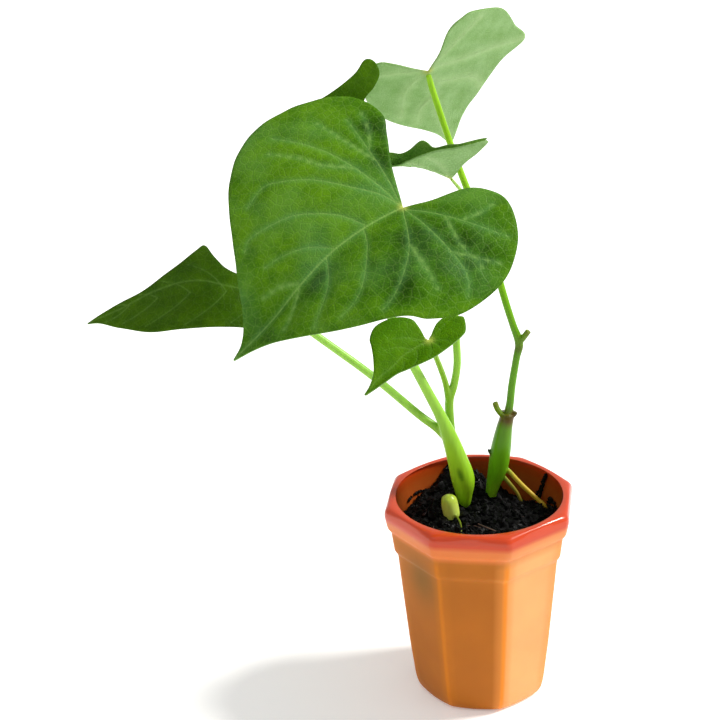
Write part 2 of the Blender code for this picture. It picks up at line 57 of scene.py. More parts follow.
# Pot: an eight-sided cup with a round mouth. Rows are radius at the corners, height and roundness
POT_TURN = -9.8
POT_CORNER_ROUNDING = 3.5
POT_FOOT_RADIUS = 19.0
POT_FLOOR_TOP = 2.3
POT_OUTSIDE = (
    (21.4, 0.6, 0.55), (22.3, 2.4, 0.3), (22.9, 5.4, 0.1), (24.6, 19.7, 0.0), (26.6, 40.5, 0.0),
    (27.6, 51.6, 0.0), (28.7, 53.2, 0.0), (29.6, 60.2, 0.0), (30.7, 61.4, 0.0), (31.5, 65.0, 0.0),
    (31.7, 66.4, 0.0), (31.4, 67.9, 0.0), (30.9, 68.8, 0.35), (30.1, 69.2, 0.7),
)
POT_INSIDE = (
    (28.1, 69.2, 1.0), (27.6, 68.7, 1.0), (27.4, 67.4, 1.0), (26.4, 61.2, 1.0), (24.9, 53.2, 1.0),
    (24.2, 50.5, 1.0), (23.4, 40.5, 1.0), (21.5, 19.7, 1.0), (19.9, 5.6, 1.0), (19.2, 3.0, 1.0),
    (18.0, 2.4, 1.0),
)
SIDE_STEPS = 7
CORNER_STEPS = 6
FILLET = 0.6
POT_RING_STEP = 2.0
# Half angle of a rounded corner, and how far a softened ring goes from its flats to its corners
CORNER_ARC = 2.44
POT_ROUND_SHARE = 0.35
# Tones up the pot as shares of a height: the thin wall, the band from 60.6 mm and the rim from 65.6
POT_TONE_TOP = 70.0
POT_TONES = ((0.0, "body"), (0.835, "body"), (0.865, "band"), (0.91, "band"), (0.937, "rim"), (1.0, "rim"))
# Where the band under the rim begins and ends, and how high the shade inside reaches
BAND_FOOT = 60.0
BAND_TOP = 64.6
INNER_TOP = 68.0
# Painted light on the lit side, a painted glow at the corners (the front one first), the damp stain and the
# painted shade inside
LIT_SIDE = -54.8
LIT_WIDTH = 24.0
LIT_AMOUNT = 0.8
FRONT_CORNER = -77.3
FRONT_WIDTH = 8.0
GLOW_AMOUNTS = (0.85, 0.35)
GLOW_WIDTH = 2.4
STAIN_PLACE = (-18.0, -15.0, 48.5)
STAIN_SPREAD = (7.0, 7.0, 9.0)
STAIN_AMOUNT = 0.7
INNER_AMOUNT = 0.9

# Soil surface: level, and the height, place and spread of each swell or hollow
SOIL_WALL_GAP = 0.35
SOIL_EDGE = 57.0
SOIL_LEVEL = 59.5
SOIL_SWELLS = (
    (7.5, (-4.5, 22.0), 6.5), (-3.4, (16.0, 19.0), 7.0), (1.2, (-9.0, 2.0), 5.0), (1.6, (6.0, 6.0), 8.0),
    (-1.5, (20.0, -14.0), 9.0),
)
SOIL_SKIRT = 45.0
SOIL_SPOKES = 150
SOIL_RINGS = 62
# The small lumps and the ridges between them: how close they lie, how far they rise or sink
LUMP_SCALE = 0.22
LUMP_RISE = 1.6
RIDGE_SCALE = 0.42
RIDGE_FALL = 1.7
SOIL_LIFT = 0.5
# How far the crumbs, and the lumps and fibres, keep from the soil's edge
CRUMB_MARGIN = 0.5
FIBRE_MARGIN = 3.4
FIBRE_LENGTH = 5.0
FIBRE_DENSITY = 0.005
FIBRE_SHADE = "#2a2018"
SCATTER_INPUTS = (
    ("Size", "Float", 1.3 * MM),
    ("Pieces per square metre", "Float", 800000.0),
    ("Where", "String", "top"),
    ("Seed", "Int", 7),
)
# Soil that clings to the pot's inner wall: how far in, and rows of angle, height and half width
WALL_SOIL_GAP = 0.45
WALL_SOIL = (
    ((31, 68.2, 0.5), (33, 65.6, 0.8), (35, 61.6, 0.9), (37, 58.5, 1.3)),
    ((23, 59.5, 1.2), (21, 61.6, 1.2), (14, 60.6, 1.4), (9, 59.3, 1.0)),
    ((150, 60.5, 1.0), (141, 61.5, 1.4), (132, 61.0, 1.6), (124, 60.6, 1.6)),
    ((120, 61.0, 1.4), (113, 63.0, 1.8), (109, 65.6, 1.6), (107, 67.2, 0.8)),
    ((116, 62.0, 2.4), (106, 63.6, 3.0), (98, 64.0, 2.6), (90, 63.4, 1.6)),
)

# Stems: rows of x, y, z and radius along each run
LEFT_MAIN = (
    (-3.9, 11.5, 52.0, 1.9), (-3.9, 11.0, 55.5, 1.9), (-4.1, 9.7, 59.9, 2.0), (-4.3, 8.5, 64.5, 2.7),
    (-4.6, 7.5, 70.9, 3.8), (-6.4, 6.5, 78.7, 3.3), (-8.8, 5.5, 87.2, 2.6), (-11.4, 5.0, 94.6, 1.9),
    (-14.8, 4.0, 102.5, 1.65), (-19.4, 2.0, 113.2, 1.5), (-23.5, 2.0, 122.2, 1.45),
    (-26.8, 3.0, 132.7, 1.4), (-28.3, 3.0, 145.9, 1.35), (-26.6, -1.0, 158.5, 1.35),
    (-22.7, -6.0, 168.2, 1.3),
)
LEFT_PETIOLE = (
    (-8.5, 6.0, 85.0, 1.5), (-12.7, 7.0, 89.8, 1.4), (-18.6, 8.0, 94.6, 1.35), (-33.1, 9.0, 108.4, 1.3),
    (-50.8, 11.0, 122.7, 1.25), (-62.6, 11.7, 132.8, 1.1), (-65.8, 12.0, 135.6, 0.9),
)
REAR_SHOOT = (
    (-6.6, 8.0, 78.0, 1.7), (-7.8, 9.5, 85.2, 1.5), (-8.3, 10.0, 91.0, 1.4), (-8.4, 10.0, 98.1, 1.45),
    (-6.9, 9.5, 103.5, 1.3), (-5.8, 9.0, 110.6, 1.25), (-5.9, 9.2, 118.2, 1.25), (-6.5, 12.0, 129.9, 1.2),
    (-10.0, 18.0, 141.2, 1.15), (-17.1, 26.0, 149.6, 1.15), (-25.5, 30.8, 158.5, 1.1),
    (-32.7, 33.3, 168.4, 1.0), (-35.9, 32.6, 174.0, 0.9),
)
HEART_PETIOLE = (
    (-8.4, 10.0, 96.5, 1.2), (-9.5, 8.0, 104.3, 1.0), (-11.1, 5.0, 110.9, 0.95), (-12.8, 1.0, 117.1, 0.9),
    (-14.9, -6.8, 125.8, 0.8),
)
RIGHT_MAIN = (
    (4.4, 15.0, 52.0, 1.9), (4.7, 14.6, 55.5, 1.9), (4.7, 14.0, 59.7, 1.7), (5.6, 13.5, 65.1, 2.3),
    (7.2, 13.0, 71.9, 3.2), (8.2, 12.5, 79.0, 3.3), (9.2, 12.5, 85.5, 2.7), (10.0, 12.5, 89.3, 2.35),
    (10.4, 12.5, 91.6, 2.5),
)
RIGHT_SHOOT = (
    (10.2, 12.5, 89.5, 1.6), (11.2, 12.5, 95.0, 1.3), (11.9, 13.0, 101.1, 1.25), (13.4, 13.5, 110.2, 1.2),
    (14.3, 14.0, 115.2, 1.4), (12.5, 15.0, 121.0, 1.2), (10.2, 17.0, 128.8, 1.2), (7.2, 21.5, 140.1, 1.2),
    (3.3, 27.0, 152.4, 1.25), (-0.2, 31.0, 161.1, 1.15), (-4.2, 36.0, 172.2, 1.1), (-8.0, 39.3, 184.2, 1.1),
    (-10.4, 39.7, 192.4, 1.05), (-11.4, 39.6, 196.6, 0.9),
)
MID_PETIOLE = (
    (1.4, 29.0, 157.5, 0.8), (1.0, 26.0, 159.0, 0.7), (-1.4, 21.0, 162.5, 0.6), (-3.9, 15.0, 167.1, 0.6),
    (-6.5, 10.2, 171.6, 0.5),
)
LOWER_STUB = ((9.6, 12.2, 89.8, 1.0), (7.2, 11.0, 93.4, 0.95), (6.2, 10.5, 96.2, 1.0))
UPPER_STUB = ((14.0, 14.0, 115.0, 1.1), (15.8, 13.5, 117.4, 1.0), (17.2, 13.0, 119.6, 0.95))
UPPER_ROOT = (
    (8.0, 12.5, 72.6, 1.0), (10.5, 12.4, 70.8, 0.8), (14.7, 11.0, 66.2, 0.8), (19.6, 9.0, 61.7, 0.75),
    (21.8, 7.5, 60.0, 0.7), (22.9, 6.5, 56.5, 0.65),
)
LOWER_ROOT = (
    (7.0, 13.4, 69.8, 0.9), (8.9, 13.4, 68.2, 0.75), (12.7, 12.5, 63.5, 0.65), (14.2, 12.0, 60.6, 0.6),
    (15.6, 11.8, 56.5, 0.6),
)
PALE_SHOOT = (
    (-8.6, 2.4, 52.0, 1.6), (-8.6, 2.4, 56.0, 2.0), (-8.7, 2.3, 60.2, 2.6), (-9.3, 2.5, 64.2, 2.75),
    (-9.6, 2.8, 66.4, 2.45), (-9.7, 2.9, 67.4, 1.7), (-9.75, 3.0, 67.9, 0.7),
)
SHOOT_THREAD = (
    (-8.0, 1.0, 61.6, 0.5), (-7.2, -1.4, 61.7, 0.42), (-6.5, -5.0, 61.6, 0.38), (-6.4, -8.5, 61.1, 0.34),
    (-6.9, -12.0, 59.8, 0.3),
)
BUD = ((6.4, 12.8, 76.6, 1.2), (4.9, 12.2, 77.6, 0.7), (4.3, 12.0, 78.4, 0.5), (4.0, 12.0, 79.1, 0.3))
SCAR_KNOB = ((11.0, 12.3, 90.6, 1.4), (12.5, 11.8, 91.4, 0.9), (12.9, 11.7, 92.2, 0.7))
STRAW = ((-0.9, -5.5, 61.3, 0.24), (1.4, -8.9, 61.8, 0.26), (4.4, -10.6, 61.2, 0.22))
RUN_STEPS = 6
STEM_VOXEL = 0.26
STRAW_VOXEL = 0.1
# How near to a run's skin a point takes that run's colour
SKIN_REACH = 0.45
POINT_BATCH = 4000

# Colours along each run, as height in millimetres and sRGB
LEFT_COLOURS = (
    (56.0, "#5c8c08"), (64.0, "#88bc14"), (72.0, "#98cc24"), (84.0, "#94c828"), (96.0, "#90c43c"),
    (120.0, "#94c84c"), (170.0, "#94c44c"),
)
PETIOLE_COLOURS = ((85.0, "#84b42c"), (100.0, "#94c84c"), (136.0, "#a0d05c"))
REAR_COLOURS = ((78.0, "#80b424"), (100.0, "#8cc034"), (175.0, "#98cc50"))
HEART_COLOURS = ((96.0, "#84b42c"), (126.0, "#84b038"))
RIGHT_COLOURS = (
    (56.0, "#8cc02c"), (62.0, "#80b81c"), (70.0, "#68a814"), (80.0, "#609c10"), (87.6, "#5c8c10"),
    (88.8, "#5c3c14"), (90.8, "#542c10"), (91.8, "#548010"),
)
SHOOT_COLOURS = (
    (92.0, "#588c0c"), (104.0, "#609c0c"), (112.4, "#588c0c"), (113.4, "#4c4a0c"), (114.6, "#587c10"),
    (119.0, "#609410"), (135.0, "#74ac14"), (160.0, "#8cc01c"), (196.0, "#94c824"),
)
MID_PETIOLE_COLOURS = ((157.0, "#90bc28"), (172.0, "#94bc48"))
STUB_COLOURS = ((89.0, "#5c7c10"), (95.0, "#68881c"), (96.6, "#6c541c"))
UPPER_STUB_COLOURS = ((115.0, "#5c8410"), (118.8, "#688418"), (120.0, "#6c541c"))
KNOB_COLOURS = ((90.0, "#5a3a18"), (92.2, "#4a3016"))
BUD_COLOURS = ((76.6, "#3a6c0a"), (78.0, "#2a3c12"))
UPPER_ROOT_COLOURS = ((56.0, "#8c6c14"), (62.0, "#c8a42c"), (69.0, "#ccb43c"), (72.0, "#68a014"))
LOWER_ROOT_COLOURS = ((56.0, "#5c5418"), (64.0, "#8a8030"), (68.0, "#8c9434"), (70.0, "#5c8a14"))
PALE_COLOURS = (
    (57.0, "#7c9020"), (60.0, "#c8dc5c"), (64.0, "#cce268"), (66.6, "#b0c838"), (68.0, "#7c8420"),
)
THREAD_COLOURS = ((59.0, "#4c5014"), (62.0, "#6c7c1c"))
# Painted shade in the slit up the left stem: places on the skin and the width there
SLIT_SHADE = (
    (-6.6, 4.3, 77.6, 0.4), (-6.3, 3.9, 76.6, 0.6), (-6.0, 3.7, 75.6, 0.75), (-5.7, 3.6, 74.6, 0.8),
    (-5.4, 3.6, 73.6, 0.75), (-5.1, 3.8, 72.6, 0.6), (-4.9, 4.1, 71.6, 0.4),
)
SLIT_SHADE_COLOUR = "#3c6c08"
SLIT_SHADE_AMOUNT = 0.8
# Each stem with the solid it replaces, its slot, its runs with their colours, and its marks of painted shade
STEMS = {
    "vine_left": ("stem_left", "stem_pale", (
        (LEFT_MAIN, LEFT_COLOURS), (LEFT_PETIOLE, PETIOLE_COLOURS),
        (REAR_SHOOT, REAR_COLOURS), (HEART_PETIOLE, HEART_COLOURS),
    ), SLIT_SHADE),
    "vine_right": ("stem_right", "stem_mid", (
        (RIGHT_MAIN, RIGHT_COLOURS), (RIGHT_SHOOT, SHOOT_COLOURS), (MID_PETIOLE, MID_PETIOLE_COLOURS),
        (LOWER_STUB, STUB_COLOURS), (UPPER_STUB, UPPER_STUB_COLOURS), (SCAR_KNOB, KNOB_COLOURS),
        (BUD, BUD_COLOURS), (UPPER_ROOT, UPPER_ROOT_COLOURS), (LOWER_ROOT, LOWER_ROOT_COLOURS),
    ), ()),
    "pale_shoot": ("shoot_pale", "shoot_yellow", (
        (PALE_SHOOT, PALE_COLOURS), (SHOOT_THREAD, THREAD_COLOURS),
    ), ()),
}

LEAVES = {
    "leaf_big": {
        "base": (-21.9, -8.0, 169.4), "aim": (-150.0, -20.0, -32.0), "length": 69.0, "half_width": 45.0,
        "droop": 40.0, "left": {"fold": 32.0, "bow": -70.0}, "right": {"fold": 8.0, "bow": -20.0},
        "left_outline": (
            (-8, 5), (-16, 8), (-21, 13), (-23, 21), (-18, 32), (-7, 40), (8, 41.2), (17.5, 36.6),
            (23, 30.9), (38, 22), (57, 7),
        ),
        "right_outline": (
            (-6, 13), (-12, 23), (-16, 31), (-13, 43), (-1, 51), (18, 53), (34, 43), (48, 21), (57, 7),
            (63, 1.5),
        ),
    },
    "leaf_left": {
        "base": (-66.1, 12.0, 136.2), "aim": (-165.7, 16.4, -40.2), "length": 56.5, "half_width": 26.0,
        "droop": 43.5, "sweep": 15.3, "left": {"fold": 4.2, "bow": -53.0},
        "right": {"fold": 20.7, "bow": -58.0},
        "left_outline": (
            (-5, 4), (-8, 9), (-3, 12), (6, 12), (15.5, 12), (25, 11.8), (35.5, 10.8), (45, 6.5), (52, 2),
        ),
        "right_outline": (
            (-5, 4), (-7, 9), (-2, 9.5), (5, 5.5), (11.3, 7.5), (15.2, 12), (18, 17), (20.7, 15), (25, 11),
            (30, 7.5), (37, 3.5), (47, 1.5),
        ),
    },
    "leaf_small": {
        "base": (-15.2, -8.0, 126.7), "aim": (-140.5, -24.7, -49.8), "length": 26.5, "half_width": 14.0,
        "droop": 26.6, "sweep": -5.7, "left": {"fold": 48.3, "bow": -23.0},
        "right": {"fold": 31.8, "bow": -71.0},
        "left_outline": (
            (-1.5, -0.4), (-3.6, -1.5), (-5.7, -2.1), (-8.3, -1.9), (-10.8, -0.7), (-12.6, 1.8),
            (-12.4, 3.7), (-9.3, 7), (-6.8, 7.7), (-2.7, 7.5), (4.5, 5.9), (11.5, 2.9), (15, 1.2),
            (20, 0.7),
        ),
        "right_outline": (
            (0.7, 1.4), (0.4, 3.7), (0, 6.1), (-0.1, 8.4), (1.5, 11.2), (3.9, 13.5), (6.9, 15.2),
            (9.8, 15.5), (13.3, 13.2), (14.8, 10.6), (17.1, 7.1), (20, 3.6), (23.5, 1.2),
        ),
    },
    "leaf_top": {
        "base": (-11.5, 40.6, 197.7), "aim": (74.0, -44.0, -11.0), "length": 42.0, "half_width": 26.0,
        "droop": 10.0, "left": {"fold": 5.0, "bow": -20.0}, "right": {"fold": 40.0, "bow": -10.0},
        "left_outline": (
            (-3, 5), (-6, 9), (-9, 13.5), (-7, 18.5), (0, 21), (10, 22), (20, 20), (28, 14), (32, 8),
            (36, 3.5),
        ),
        "right_outline": (
            (-3, 5), (-11, 11.5), (-12, 16.5), (-11, 21), (-3, 30), (9, 33), (17, 35), (21, 24.5), (27, 16),
            (32, 8),
        ),
    },
    "leaf_back": {
        "base": (-36.2, 30.5, 176.0), "aim": (177.0, -7.0, -79.0), "length": 37.0, "half_width": 26.0,
        "droop": 20.0, "left": {"fold": 5.0, "bow": -20.0}, "right": {"fold": 5.0, "bow": -10.0},
        "left_outline": ((-5, 5), (-10, 11), (-11, 17), (-7, 21), (2, 20), (12, 15), (22, 10), (30, 5)),
        "right_outline": (
            (-4, 7), (-6, 14.5), (-9.5, 18), (-12, 22), (-11, 26), (-8, 27), (-4, 23), (5, 18), (18, 13),
            (29, 5),
        ),
    },
    "leaf_mid": {
        "base": (-6.6, 10.0, 172.0), "aim": (168.0, 30.0, -20.6), "length": 32.0, "half_width": 18.0,
        "droop": 66.0, "sweep": 13.8, "left": {"fold": 73.2, "fold_growth": -69.0, "bow": 36.0},
        "right": {"fold": 65.0, "fold_growth": 20.3, "bow": -12.7},
        "left_outline": (
            (-0.4, 2.8), (-0.7, 6.8), (-1.3, 9.7), (-2.1, 12), (-3, 14.8), (-3.6, 18), (-0.5, 16.4),
            (2.8, 13.2), (6.4, 11.1), (10.6, 7.5), (13.5, 4.7), (16, 2), (20, 0.9), (27, 0.7),
        ),
        "right_outline": (
            (-0.3, 3), (-1, 8), (-2.2, 13), (-3.6, 16), (-0.4, 13.5), (2.2, 10.5), (4.3, 9.1), (7.4, 6.7),
            (9.5, 7.8), (11.1, 7.9), (13.7, 4.7), (16.2, 3.4), (18.8, 4), (22.5, 4), (27, 2.3),
        ),
    },
}

# Veins of the big blade as half width at the base and places (along, to the left) on the flat leaf
BIG_VEINS = (
    (0.48, ((0, 0), (8, -1.2), (15, -1.8), (26, -2), (40, -0.5), (53, 1.4), (68, 0.2))),
    (0.32, ((0.5, -2), (2.6, -7.7), (7.6, -14.7), (14.3, -24), (20.6, -29.7), (27, -33.5), (35, -31.6))),
    (0.29, ((12, -1.5), (16, -9.4), (21.6, -15.3), (28, -19.8), (40, -23), (44, -21))),
    (0.26, ((23.5, -2), (29.3, -7.9), (36.7, -11.3), (42.5, -12.5))),
    (0.19, ((38, -0.8), (43, -4.5), (49, -6))),
    (0.32, ((0.5, -1.3), (1, -10), (4.3, -25.5), (9, -37), (14.5, -46))),
    (0.2, ((3.2, -20), (9, -26), (14, -35), (19, -42))),
    (0.32, ((0, -1.3), (-2.7, -11.6), (-4.4, -22), (-6.6, -36))),
    (0.19, ((-3.8, -18), (-1, -29), (1, -41))), (0.19, ((-4.4, -22), (-9, -28), (-11.5, -35))),
    (0.29, ((1, 1.3), (8, 14.3), (14.6, 20.8), (20.4, 24.4), (25.4, 25.8))),
    (0.27, ((13.7, -1.2), (16.6, 5), (23.3, 13.7), (29.4, 18), (35.4, 19))),
    (0.26, ((27.5, -1.6), (32.8, 7.7), (43, 15.4))), (0.19, ((39, -0.6), (45, 5), (50, 8))),
    (0.29, ((0.3, 1.5), (0.6, 16), (1, 31.7), (4.6, 38))), (0.19, ((0.9, 24), (-5, 31), (-9, 35))),
    (0.29, ((0, 1.3), (-8.5, 17.6), (-14, 27), (-16, 30))), (0.18, ((-8.5, 17.6), (-15, 19), (-19, 19))),
    (0.18, ((-6, 13), (-3, 24), (-4, 33))), (0.22, ((8, 14.3), (9, 22), (10.3, 31))),
)
# Vein angles from the midrib for the other blades, with where they start as a share of its length
SIDE_VEINS = ((0.0, 132), (0.0, 100), (0.02, 68), (0.2, 56), (0.4, 48), (0.58, 42), (0.74, 36))
LEAF_VEINS = {
    "leaf_big": BIG_VEINS,
    "leaf_left": (
        (
            0.5,
            (
                (0, 0), (6.8, -1.1), (12.8, -2.2), (18.6, -3.7), (25.7, -3.8), (35, -2.1), (44.9, 0.1),
                (55, 0),
            ),
        ),
    ),
    "leaf_small": (
        (0.45, ((0, 0), (6.4, -1.5), (9.9, -1.9), (14.2, -1.5), (20.1, -1.5), (25.5, -0.2))),
        (0.3, ((0.3, -0.3), (2.2, -1.9), (5.3, -5.8), (8.3, -8.2))),
        (0.3, ((4.5, -1.1), (6.7, -2.2), (8.9, -5), (12.6, -7.1))),
    ),
    "leaf_top": (
        (0.6, ((0, 0), (2.4, 0.4), (12, 1), (23.1, 1.2), (37.8, 0.5))),
        (0.5, ((0.5, -0.3), (1, -4.1), (6.6, -12.4), (12.6, -26.2), (16.3, -34.3))),
        (0.4, ((4, 0), (9.2, -3), (18, -13.6), (25.9, -16.1))),
        (0.4, ((0.3, 0.5), (2, 2.9), (9.6, 9.1), (22.9, 13.4))), (0.35, ((14, 1), (20, 6), (28, 9))),
        (0.3, ((-0.5, -0.5), (-4, -12), (-7, -22))), (0.3, ((-0.5, 0.5), (-2, 8), (-3, 16))),
    ),
}
# Sides of the blade whose veins follow the rule
RULED_SIDES = {"leaf_left": (1, -1), "leaf_small": (1,), "leaf_mid": (1, -1), "leaf_back": (1, -1)}
# Lighter and darker patches of each blade: painted shade where it turns from the light, painted light where
# it faces it, and partly its own tone. Rows are place on the flat leaf, spread and amount
LIGHT_SHADE_AND_TONE_PATCHES = {
    "leaf_big": (
        (-11.5, -28.3, 6.5, -0.34), (-6.0, -17.0, 5.0, -0.32), (4.0, 13.0, 8.0, -0.26),
        (14.0, 19.0, 9.0, -0.22), (20.5, 27.0, 8.0, -0.16), (-8.0, 24.0, 9.0, -0.26),
        (1.0, 32.0, 9.0, -0.22), (32.5, 2.6, 3.0, -0.36), (37.0, 4.6, 3.4, -0.42), (26.0, 3.0, 5.0, -0.14),
        (13.6, -32.6, 12.0, 0.14), (30.0, -20.5, 10.0, 0.1), (16.0, -8.0, 6.0, 0.1), (58.0, 2.0, 8.0, -0.2),
        (20.9, 34.0, 4.0, 0.2),
    ),
}
# Half width of a midrib and of the veins that the rule makes, and how they bend and end
MIDRIB_WIDTH = 0.62
SIDE_VEIN_WIDTH = 0.4
VEIN_BEND = 17
VEIN_END = 0.86
# Spacing of the points along veins, along the edge and over the rest of the blade
VEIN_STEP = 0.7
EDGE_STEP = 0.7
BLADE_STEP = {"leaf_big": 1.05}
BLADE_STEP_OTHERS = 0.75
OUTLINE_STEPS = 8
# How far the points of a vein keep from the edge and from other veins, and the rest from a grid
EDGE_CLEAR = 0.35
VEIN_CLEAR = 0.22
GRID_JITTER = 0.14
GRID_SEED = 11
# How far from a vein the blade still sinks, and how deep the groove above and the rib below it are
QUILT_REACH = 2.6
GROOVE_DEPTH = 0.22
RIB_DEPTH = 0.45
# How far the band beside a vein reaches: pale vein colour on the under face and painted sheen on the upper
# face, wider on the blade seen from below
HALO_REACH = {"leaf_top": 1.9}
HALO_REACH_OTHERS = 1.0
# How far the tint at the joint, the still strip by the midrib and the thin edge reach
JOINT_REACH = 1.4
MIDRIB_REACH = 2.5
EDGE_REACH = 1.5
# The wave along the edge: its height, its reach and how close its bends lie
EDGE_WAVE = 0.3
WAVE_REACH = 5.0
WAVE_SCALE = 0.16
# Tones of each blade from light to deep, and how much vein, painted sheen and net it shows
LOOK_KEYS = ("light", "dark", "deep", "vein", "sheen", "net")
LOOKS = {
    "leaf_big": ("#588610", "#3c6a06", "#204202", 0.85, 0.9, 0.13),
    "leaf_left": ("#436603", "#325401", "#254401", 0.3, 0.1, 0.05),
    "leaf_small": ("#548004", "#426e02", "#305602", 0.3, 0.1, 0.04),
    "leaf_top": ("#6a9a30", "#4e7c14", "#3a6608", 0.5, 0.3, 0.06),
    "leaf_back": ("#4c7606", "#3c6404", "#2a4e02", 0.3, 0.1, 0.05),
    "leaf_mid": ("#6c943a", "#4c7a20", "#345c10", 0.4, 0.4, 0.05),
}
UNDER_COLOURS = {"under": "#93b87a", "under_dark": "#769e56", "under_vein": "#aecb92"}
UPPER_ROUGHNESS = 0.45
UNDER_ROUGHNESS = 0.65

# Stage: the camera in millimetres and degrees, the rest in metres, and the sky that the key fills
CAMERA_PLACE = (-36.39, -504.94, 335.6)
CAMERA_TILT = 23.353
CAMERA_ROLL = -2.345
CAMERA_LENS = 88.77
STAGE_MIDDLE = (-0.02, 0.0, 0.11)
FLOOR_REACH = 5.0
KEY_PLACE = (0.72, 0.1, 0.86)
KEY_WIDTH = 14.0
FILL_PLACE = (-0.7, -0.45, 0.9)
FILL_SIZE = 0.6
WHITE = (1.0, 1.0, 1.0, 1.0)


def linear(hex_colour):
    """Linear red, green, blue and alpha of an sRGB hex colour."""
    parts = [int(hex_colour[i : i + 2], 16) / 255 for i in (1, 3, 5)]
    return tuple(c / 12.92 if c <= 0.04045 else ((c + 0.055) / 1.055) ** 2.4 for c in parts) + (1.0,)


def colour_property(name, text, default):
    return bpy.props.FloatVectorProperty(
        name=name, description=text, subtype="COLOR", size=4, min=0, max=1, default=linear(default)
    )


def size_property(name, text, default_mm):
    return bpy.props.FloatProperty(
        name=name, description=text, default=default_mm * MM, min=0, unit="LENGTH", precision=5
    )


class PotSettings(bpy.types.PropertyGroup):
    # The corner glow and the lit side are painted light, and the inside is painted shade
    rim: colour_property("Rim", "Plastic at the thick rim, where least light comes through", "#c63e12")
    band: colour_property("Band", "Plastic of the stepped band under the rim", "#d8783a")
    body: colour_property("Body", "Plastic of the thin wall below the band", "#b06410")
    glow: colour_property("Corner glow", "Plastic at the corners, where light gathers", "#f08c14")
    lit: colour_property("Lit side", "Plastic of the side that light comes through", "#f8b072")
    stain: colour_property("Stain", "Damp soil seen through the wall", "#66500c")
    inner: colour_property("Inside", "Plastic of the shaded inner wall", "#94400f")


class SoilSettings(bpy.types.PropertyGroup):
    dark: colour_property("Dark", "Damp soil in the hollows", "#010101")
    light: colour_property("Light", "Damp soil on the lumps", "#060607")
    fibre: colour_property("Fibre", "Dry fibres in the soil", "#75594a")
    crumb: size_property("Crumb", "Width of a typical crumb", 1.3)
    density: bpy.props.FloatProperty(
        name="Crumbs", description="Crumbs on each square millimetre", default=0.8, min=0.0
    )
    seed: bpy.props.IntProperty(name="Seed", description="Seed of the scatter", default=7)


class StemSettings(bpy.types.PropertyGroup):
    voxel: size_property("Skin step", "Spacing of the points on the stems' skin", STEM_VOXEL)
    shade: colour_property("Shade", "Tone of the faint streaks along the stems", "#4a7c08")


class LeafSettings(bpy.types.PropertyGroup):
    thickness: size_property("Blade", "Thickness of a leaf blade", 0.5)
    quilt: size_property("Quilting", "How far the blade sinks along its veins", 0.55)
    # The sheen colour is a painted reflection: bluish sky light laid on the upper face along its veins and
    # in broad patches
    sheen: colour_property("Sheen", "Bluish painted_sheen along the veins of the upper face", "#5e9250")
    vein: colour_property("Vein", "Veins on the upper face", "#8db45a")
    joint: colour_property("Joint", "Blade where the leaf stalk meets it", "#b9c05a")


class StageSettings(bpy.types.PropertyGroup):
    floor: colour_property("Floor", "Plain pale floor", "#fcfcfc")
    sun: bpy.props.FloatProperty(name="Key", description="Strength of the main light", default=3.7)
    window: bpy.props.FloatProperty(name="Fill", description="Power of the soft light in watts", default=0.6)
    sky: bpy.props.FloatProperty(name="Surround", description="Strength of the even surround", default=0.54)


# General makers


def set_inputs(tree, node, inputs):
    """Gives a node's inputs, by name or in order, a value or a link from another node."""
    for key, value in inputs.items() if isinstance(inputs, dict) else enumerate(inputs):
        if isinstance(value, bpy.types.NodeSocket):
            tree.links.new(value, node.inputs[key])
        else:
            node.inputs[key].default_value = value


def add_node(tree, kind, output, inputs=(), **settings):
    """Adds a node with its properties and inputs, and returns the output named."""
    node = tree.nodes.new(kind)
    for key, value in settings.items():
        setattr(node, key, value)
    set_inputs(tree, node, inputs)
    return node.outputs[output]


def new_material(name):
    """A material with only its output and a Principled shader, and its node tree."""
    material = bpy.data.materials.new(name)
    material.use_nodes = True
    return material, material.node_tree, material.node_tree.nodes["Principled BSDF"]


def laid_over(tree, colour, layers):
    """Lays each tint over the colour by its amount."""
    for amount, tint in layers:
        inputs = {"Factor": amount, "A": colour, "B": tint}
        colour = add_node(tree, "ShaderNodeMix", "Result", inputs, data_type="RGBA")
    return colour


def set_stops(colour, stops):
    """Gives the colour ramp behind this output its stops of place and linear colour."""
    elements = colour.node.color_ramp.elements
    while len(elements) > 1:
        elements.remove(elements[-1])
    elements[0].position, elements[0].color = stops[0]
    for place, tint in stops[1:]:
        elements.new(place).color = tint
    return colour


def placed_object(name, data):
    item = bpy.data.objects.new(name, data)
    bpy.context.scene.collection.objects.link(item)
    return item


def finished_piece(name, mesh, node, smooth=True):
    """Puts a finished mesh in the scene, riding on the plant, in place of a solid."""
    old = bpy.data.objects.get(name)
    if old:
        bpy.data.objects.remove(old, do_unlink=True)
    piece = placed_object(name, mesh)
    if smooth:
        mesh.shade_smooth()
    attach(piece, ROOT)
    if node:
        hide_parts(node)


def mesh_from(name, points, faces, material):
    """A mesh in metres from points in millimetres."""
    mesh = bpy.data.meshes.new(name)
    mesh.from_pydata((np.asarray(points) * MM).tolist(), [], [tuple(int(i) for i in f) for f in faces])
    mesh.materials.append(material)
    return mesh


def outwards(mesh):
    """Turns every face of a closed mesh outward."""
    shape = bmesh.new()
    shape.from_mesh(mesh)
    bmesh.ops.recalc_face_normals(shape, faces=shape.faces)
    shape.to_mesh(mesh)
    shape.free()


def add_values(mesh, name, values):
    """Stores one number for each point, for the material to read."""
    layer = mesh.attributes.new(name, "FLOAT", "POINT")
    layer.data.foreach_set("value", np.asarray(values, np.float32))


def catmull_rom(rows, steps):
    """Points of a smooth curve through every row, with the given steps in each span."""
    rows = np.asarray(rows, float)
    padded = np.vstack([2 * rows[0] - rows[1], rows, 2 * rows[-1] - rows[-2]])
    t = (np.arange(steps) / steps)[:, None]
    curve = []
    for i in range(1, len(padded) - 2):
        a, b, c, d = padded[i - 1 : i + 3]
        span = (2 * b) + (c - a) * t
        span = span + (2 * a - 5 * b + 4 * c - d) * t**2 + (3 * b - a - 3 * c + d) * t**3
        curve.append(0.5 * span)
    curve.append(rows[-1:])
    return np.vstack(curve)


